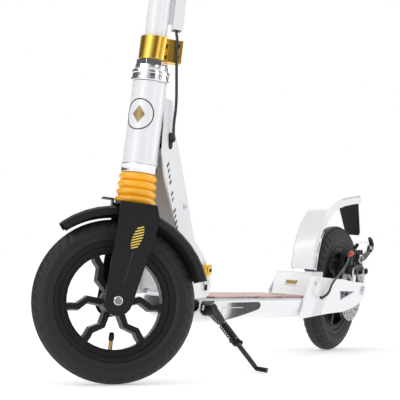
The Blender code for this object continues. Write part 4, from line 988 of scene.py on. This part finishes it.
def make_deep_spokes():
    """Inner webs of the spokes, deep at the hub and shallow at the rim."""
    line = [(0.0190, 0.0098), (0.0385, 0.0262), (0.0600, 0.0236), (0.0700, 0.0300), (0.0868, 0.0372)]
    depths = (-0.0340, -0.0330, -0.0290, -0.0250, -0.0185)
    for side, place, phase in (("front", FRONT, -36), ("rear", REAR, 20)):
        webs = []
        for k in range(3):
            turn = Matrix.Rotation(-math.radians(phase + 120 * k), 2)
            for mirror in (-1, 1):
                rings = []
                for n, (a, b) in enumerate(line):
                    along = (Vector(line[min(n + 1, 4)]) - Vector(line[max(n - 1, 0)])).normalized()
                    across = Vector((-along.y, along.x))
                    rung = []
                    for half, depth in ((-0.0070, -0.0140), (0.0070, -0.0140), (0.0058, depths[n]),
                                        (-0.0058, depths[n])):
                        spot = Vector((a, b)) + across * half
                        spot = turn @ Vector((spot.x, -mirror * spot.y))
                        rung.append((spot.x, spot.y, depth))
                    rings.append(rung)
                webs.append(loft(rings))
        piece(side + "_spoke_webs", *merge(*webs), RIM, side + "_wheel", place @ ALONG_Y, bevel=0.0008)


def make_fender_skirt():
    """Folded-down far side of the front mudguard, and the rolled edge along its near side."""
    for name, y, low, high in (("far", -0.0296, 0.1495, 0.1600), ("near", 0.0294, 0.1520, 0.1545)):
        def skirt(u, v, h):
            turn = math.radians(50 + 109 * v)
            r = low + (high - low) * u
            return (r * math.cos(turn), y + h, r * math.sin(turn))

        piece("fender_skirt_" + name, *slab(skirt, 1, 40, -0.0008, 0.0008), PLASTIC, "fork", FRONT)


for make in (make_suspension_coil, make_right_plate, make_deep_spokes, make_fender_skirt,
             make_suspension_looks, make_clamp_bolts, make_head_ring, make_frame_dashes, make_fork_marks,
             make_box_badge, make_deck_flash, make_frame_fittings, make_recess_shade, make_duct_liner,
             make_wheel_trim, make_valve, make_axle_ends, make_rotor, make_caliper_looks, make_stand_looks,
             make_grips, make_cables):
    make()


# ---------------------------------------------------------------- camera, floor and light
def make_camera():
    azimuth = math.radians(115.19)
    elevation = math.radians(-1.65)
    back = Vector((math.sin(azimuth) * math.cos(elevation), -math.cos(azimuth) * math.cos(elevation),
                   math.sin(elevation)))
    right = Vector((math.cos(azimuth), math.sin(azimuth), 0.0))
    up = back.cross(right)
    turn = Matrix((right, up, back)).transposed().to_4x4()
    data = bpy.data.cameras.new("camera")
    data.lens = 144.7
    data.sensor_width = 36.0
    camera = in_scene(bpy.data.objects.new("camera", data))
    camera.matrix_world = shift(3.5462 - MIDDLE[0], 1.3394 - MIDDLE[1], 0.242) @ turn
    bpy.context.scene.camera = camera


def make_floor():
    mat = bpy.data.materials.new("floor")
    mat.use_nodes = True
    shader = mat.node_tree.nodes["Principled BSDF"]
    shader.inputs["Base Color"].default_value = (0.93, 0.93, 0.935, 1)
    shader.inputs["Roughness"].default_value = 0.9
    shader.inputs["Specular IOR Level"].default_value = 0.0
    shader.inputs["Emission Color"].default_value = (1, 1, 1, 1)
    shader.inputs["Emission Strength"].default_value = 0.36
    mesh = bpy.data.meshes.new("floor")
    count, radius, height = 96, 40, -0.0002
    verts = [(0, 0, height)] + [(radius * math.cos(2 * math.pi * k / count),
                                 radius * math.sin(2 * math.pi * k / count), height) for k in range(count)]
    faces = [(0, 1 + k, 1 + (k + 1) % count) for k in range(count)]
    mesh.from_pydata(verts, [], faces)
    mesh.materials.append(mat)
    in_scene(bpy.data.objects.new("floor", mesh))


def area_light(name, place, target, size, power, colour=(1, 1, 1)):
    data = bpy.data.lights.new(name, "AREA")
    data.shape = "RECTANGLE"
    data.size, data.size_y = size
    data.energy = power
    data.color = colour
    lamp = in_scene(bpy.data.objects.new(name, data))
    lamp.location = place
    lamp.rotation_mode = "QUATERNION"
    lamp.rotation_quaternion = (Vector(place) - Vector(target)).to_track_quat("Z", "Y")


def make_world():
    """White studio: plain white all round, with soft boxes and dark flags in what metal reflects."""
    world = bpy.data.worlds.new("studio")
    bpy.context.scene.world = world
    world.use_nodes = True
    tree = world.node_tree
    background = tree.nodes["Background"]
    background.inputs["Color"].default_value = (1, 1, 1, 1)

    def node(kind, **values):
        made = tree.nodes.new(kind)
        for key, value in values.items():
            setattr(made, key, value)
        return made

    def join(source, target, out=0, into=0):
        tree.links.new(source.outputs[out], target.inputs[into])

    direction = node("ShaderNodeTexCoord")
    axes = node("ShaderNodeSeparateXYZ")
    join(direction, axes, "Generated", 0)
    azimuth = node("ShaderNodeMath", operation="ARCTAN2")
    join(axes, azimuth, "Y", 0)
    join(axes, azimuth, "X", 1)
    waves = node("ShaderNodeMath", operation="MULTIPLY_ADD")
    join(azimuth, waves)
    waves.inputs[1].default_value = 2.6
    waves.inputs[2].default_value = 2.25
    sine = node("ShaderNodeMath", operation="SINE")
    join(waves, sine)

    def spread(source, out, start, end, low, high):
        made = node("ShaderNodeMapRange")
        for name, value in (("From Min", start), ("From Max", end), ("To Min", low), ("To Max", high)):
            made.inputs[name].default_value = value
        join(source, made, out, 0)
        return made

    boxes = spread(sine, 0, -0.55, 0.65, 0.13, 0.90)
    tubes = spread(sine, 0, 0.72, 0.97, 0.0, 1.7)
    walls = node("ShaderNodeMath", operation="ADD")
    join(boxes, walls, 0, 0)
    join(tubes, walls, 0, 1)
    overhead = spread(axes, "Z", 0.45, 0.80, 0.0, 0.85)
    reflected = node("ShaderNodeMath", operation="MAXIMUM")
    join(walls, reflected, 0, 0)
    join(overhead, reflected, 0, 1)
    path = node("ShaderNodeLightPath")
    mix = node("ShaderNodeMix")
    join(path, mix, "Is Glossy Ray", 0)
    mix.inputs[2].default_value = 0.76
    join(reflected, mix, 0, 3)
    seen = node("ShaderNodeMath", operation="MAXIMUM")
    join(path, seen, "Is Camera Ray", 0)
    join(mix, seen, 0, 1)
    join(seen, background, 0, "Strength")


def make_light():
    area_light("key", (2.2, -1.9, 2.6), (0.2, 0, 0.3), (1.4, 1.4), 20)
    area_light("fill", (1.6, 2.8, 1.6), (0.2, 0, 0.3), (1.2, 2.0), 10)
    area_light("back_light", (-2.4, 1.0, 2.2), (0, 0, 0.4), (1.2, 1.2), 4)


bpy.context.scene.view_settings.view_transform = "Standard"
make_world()
make_camera()
make_floor()
make_light()
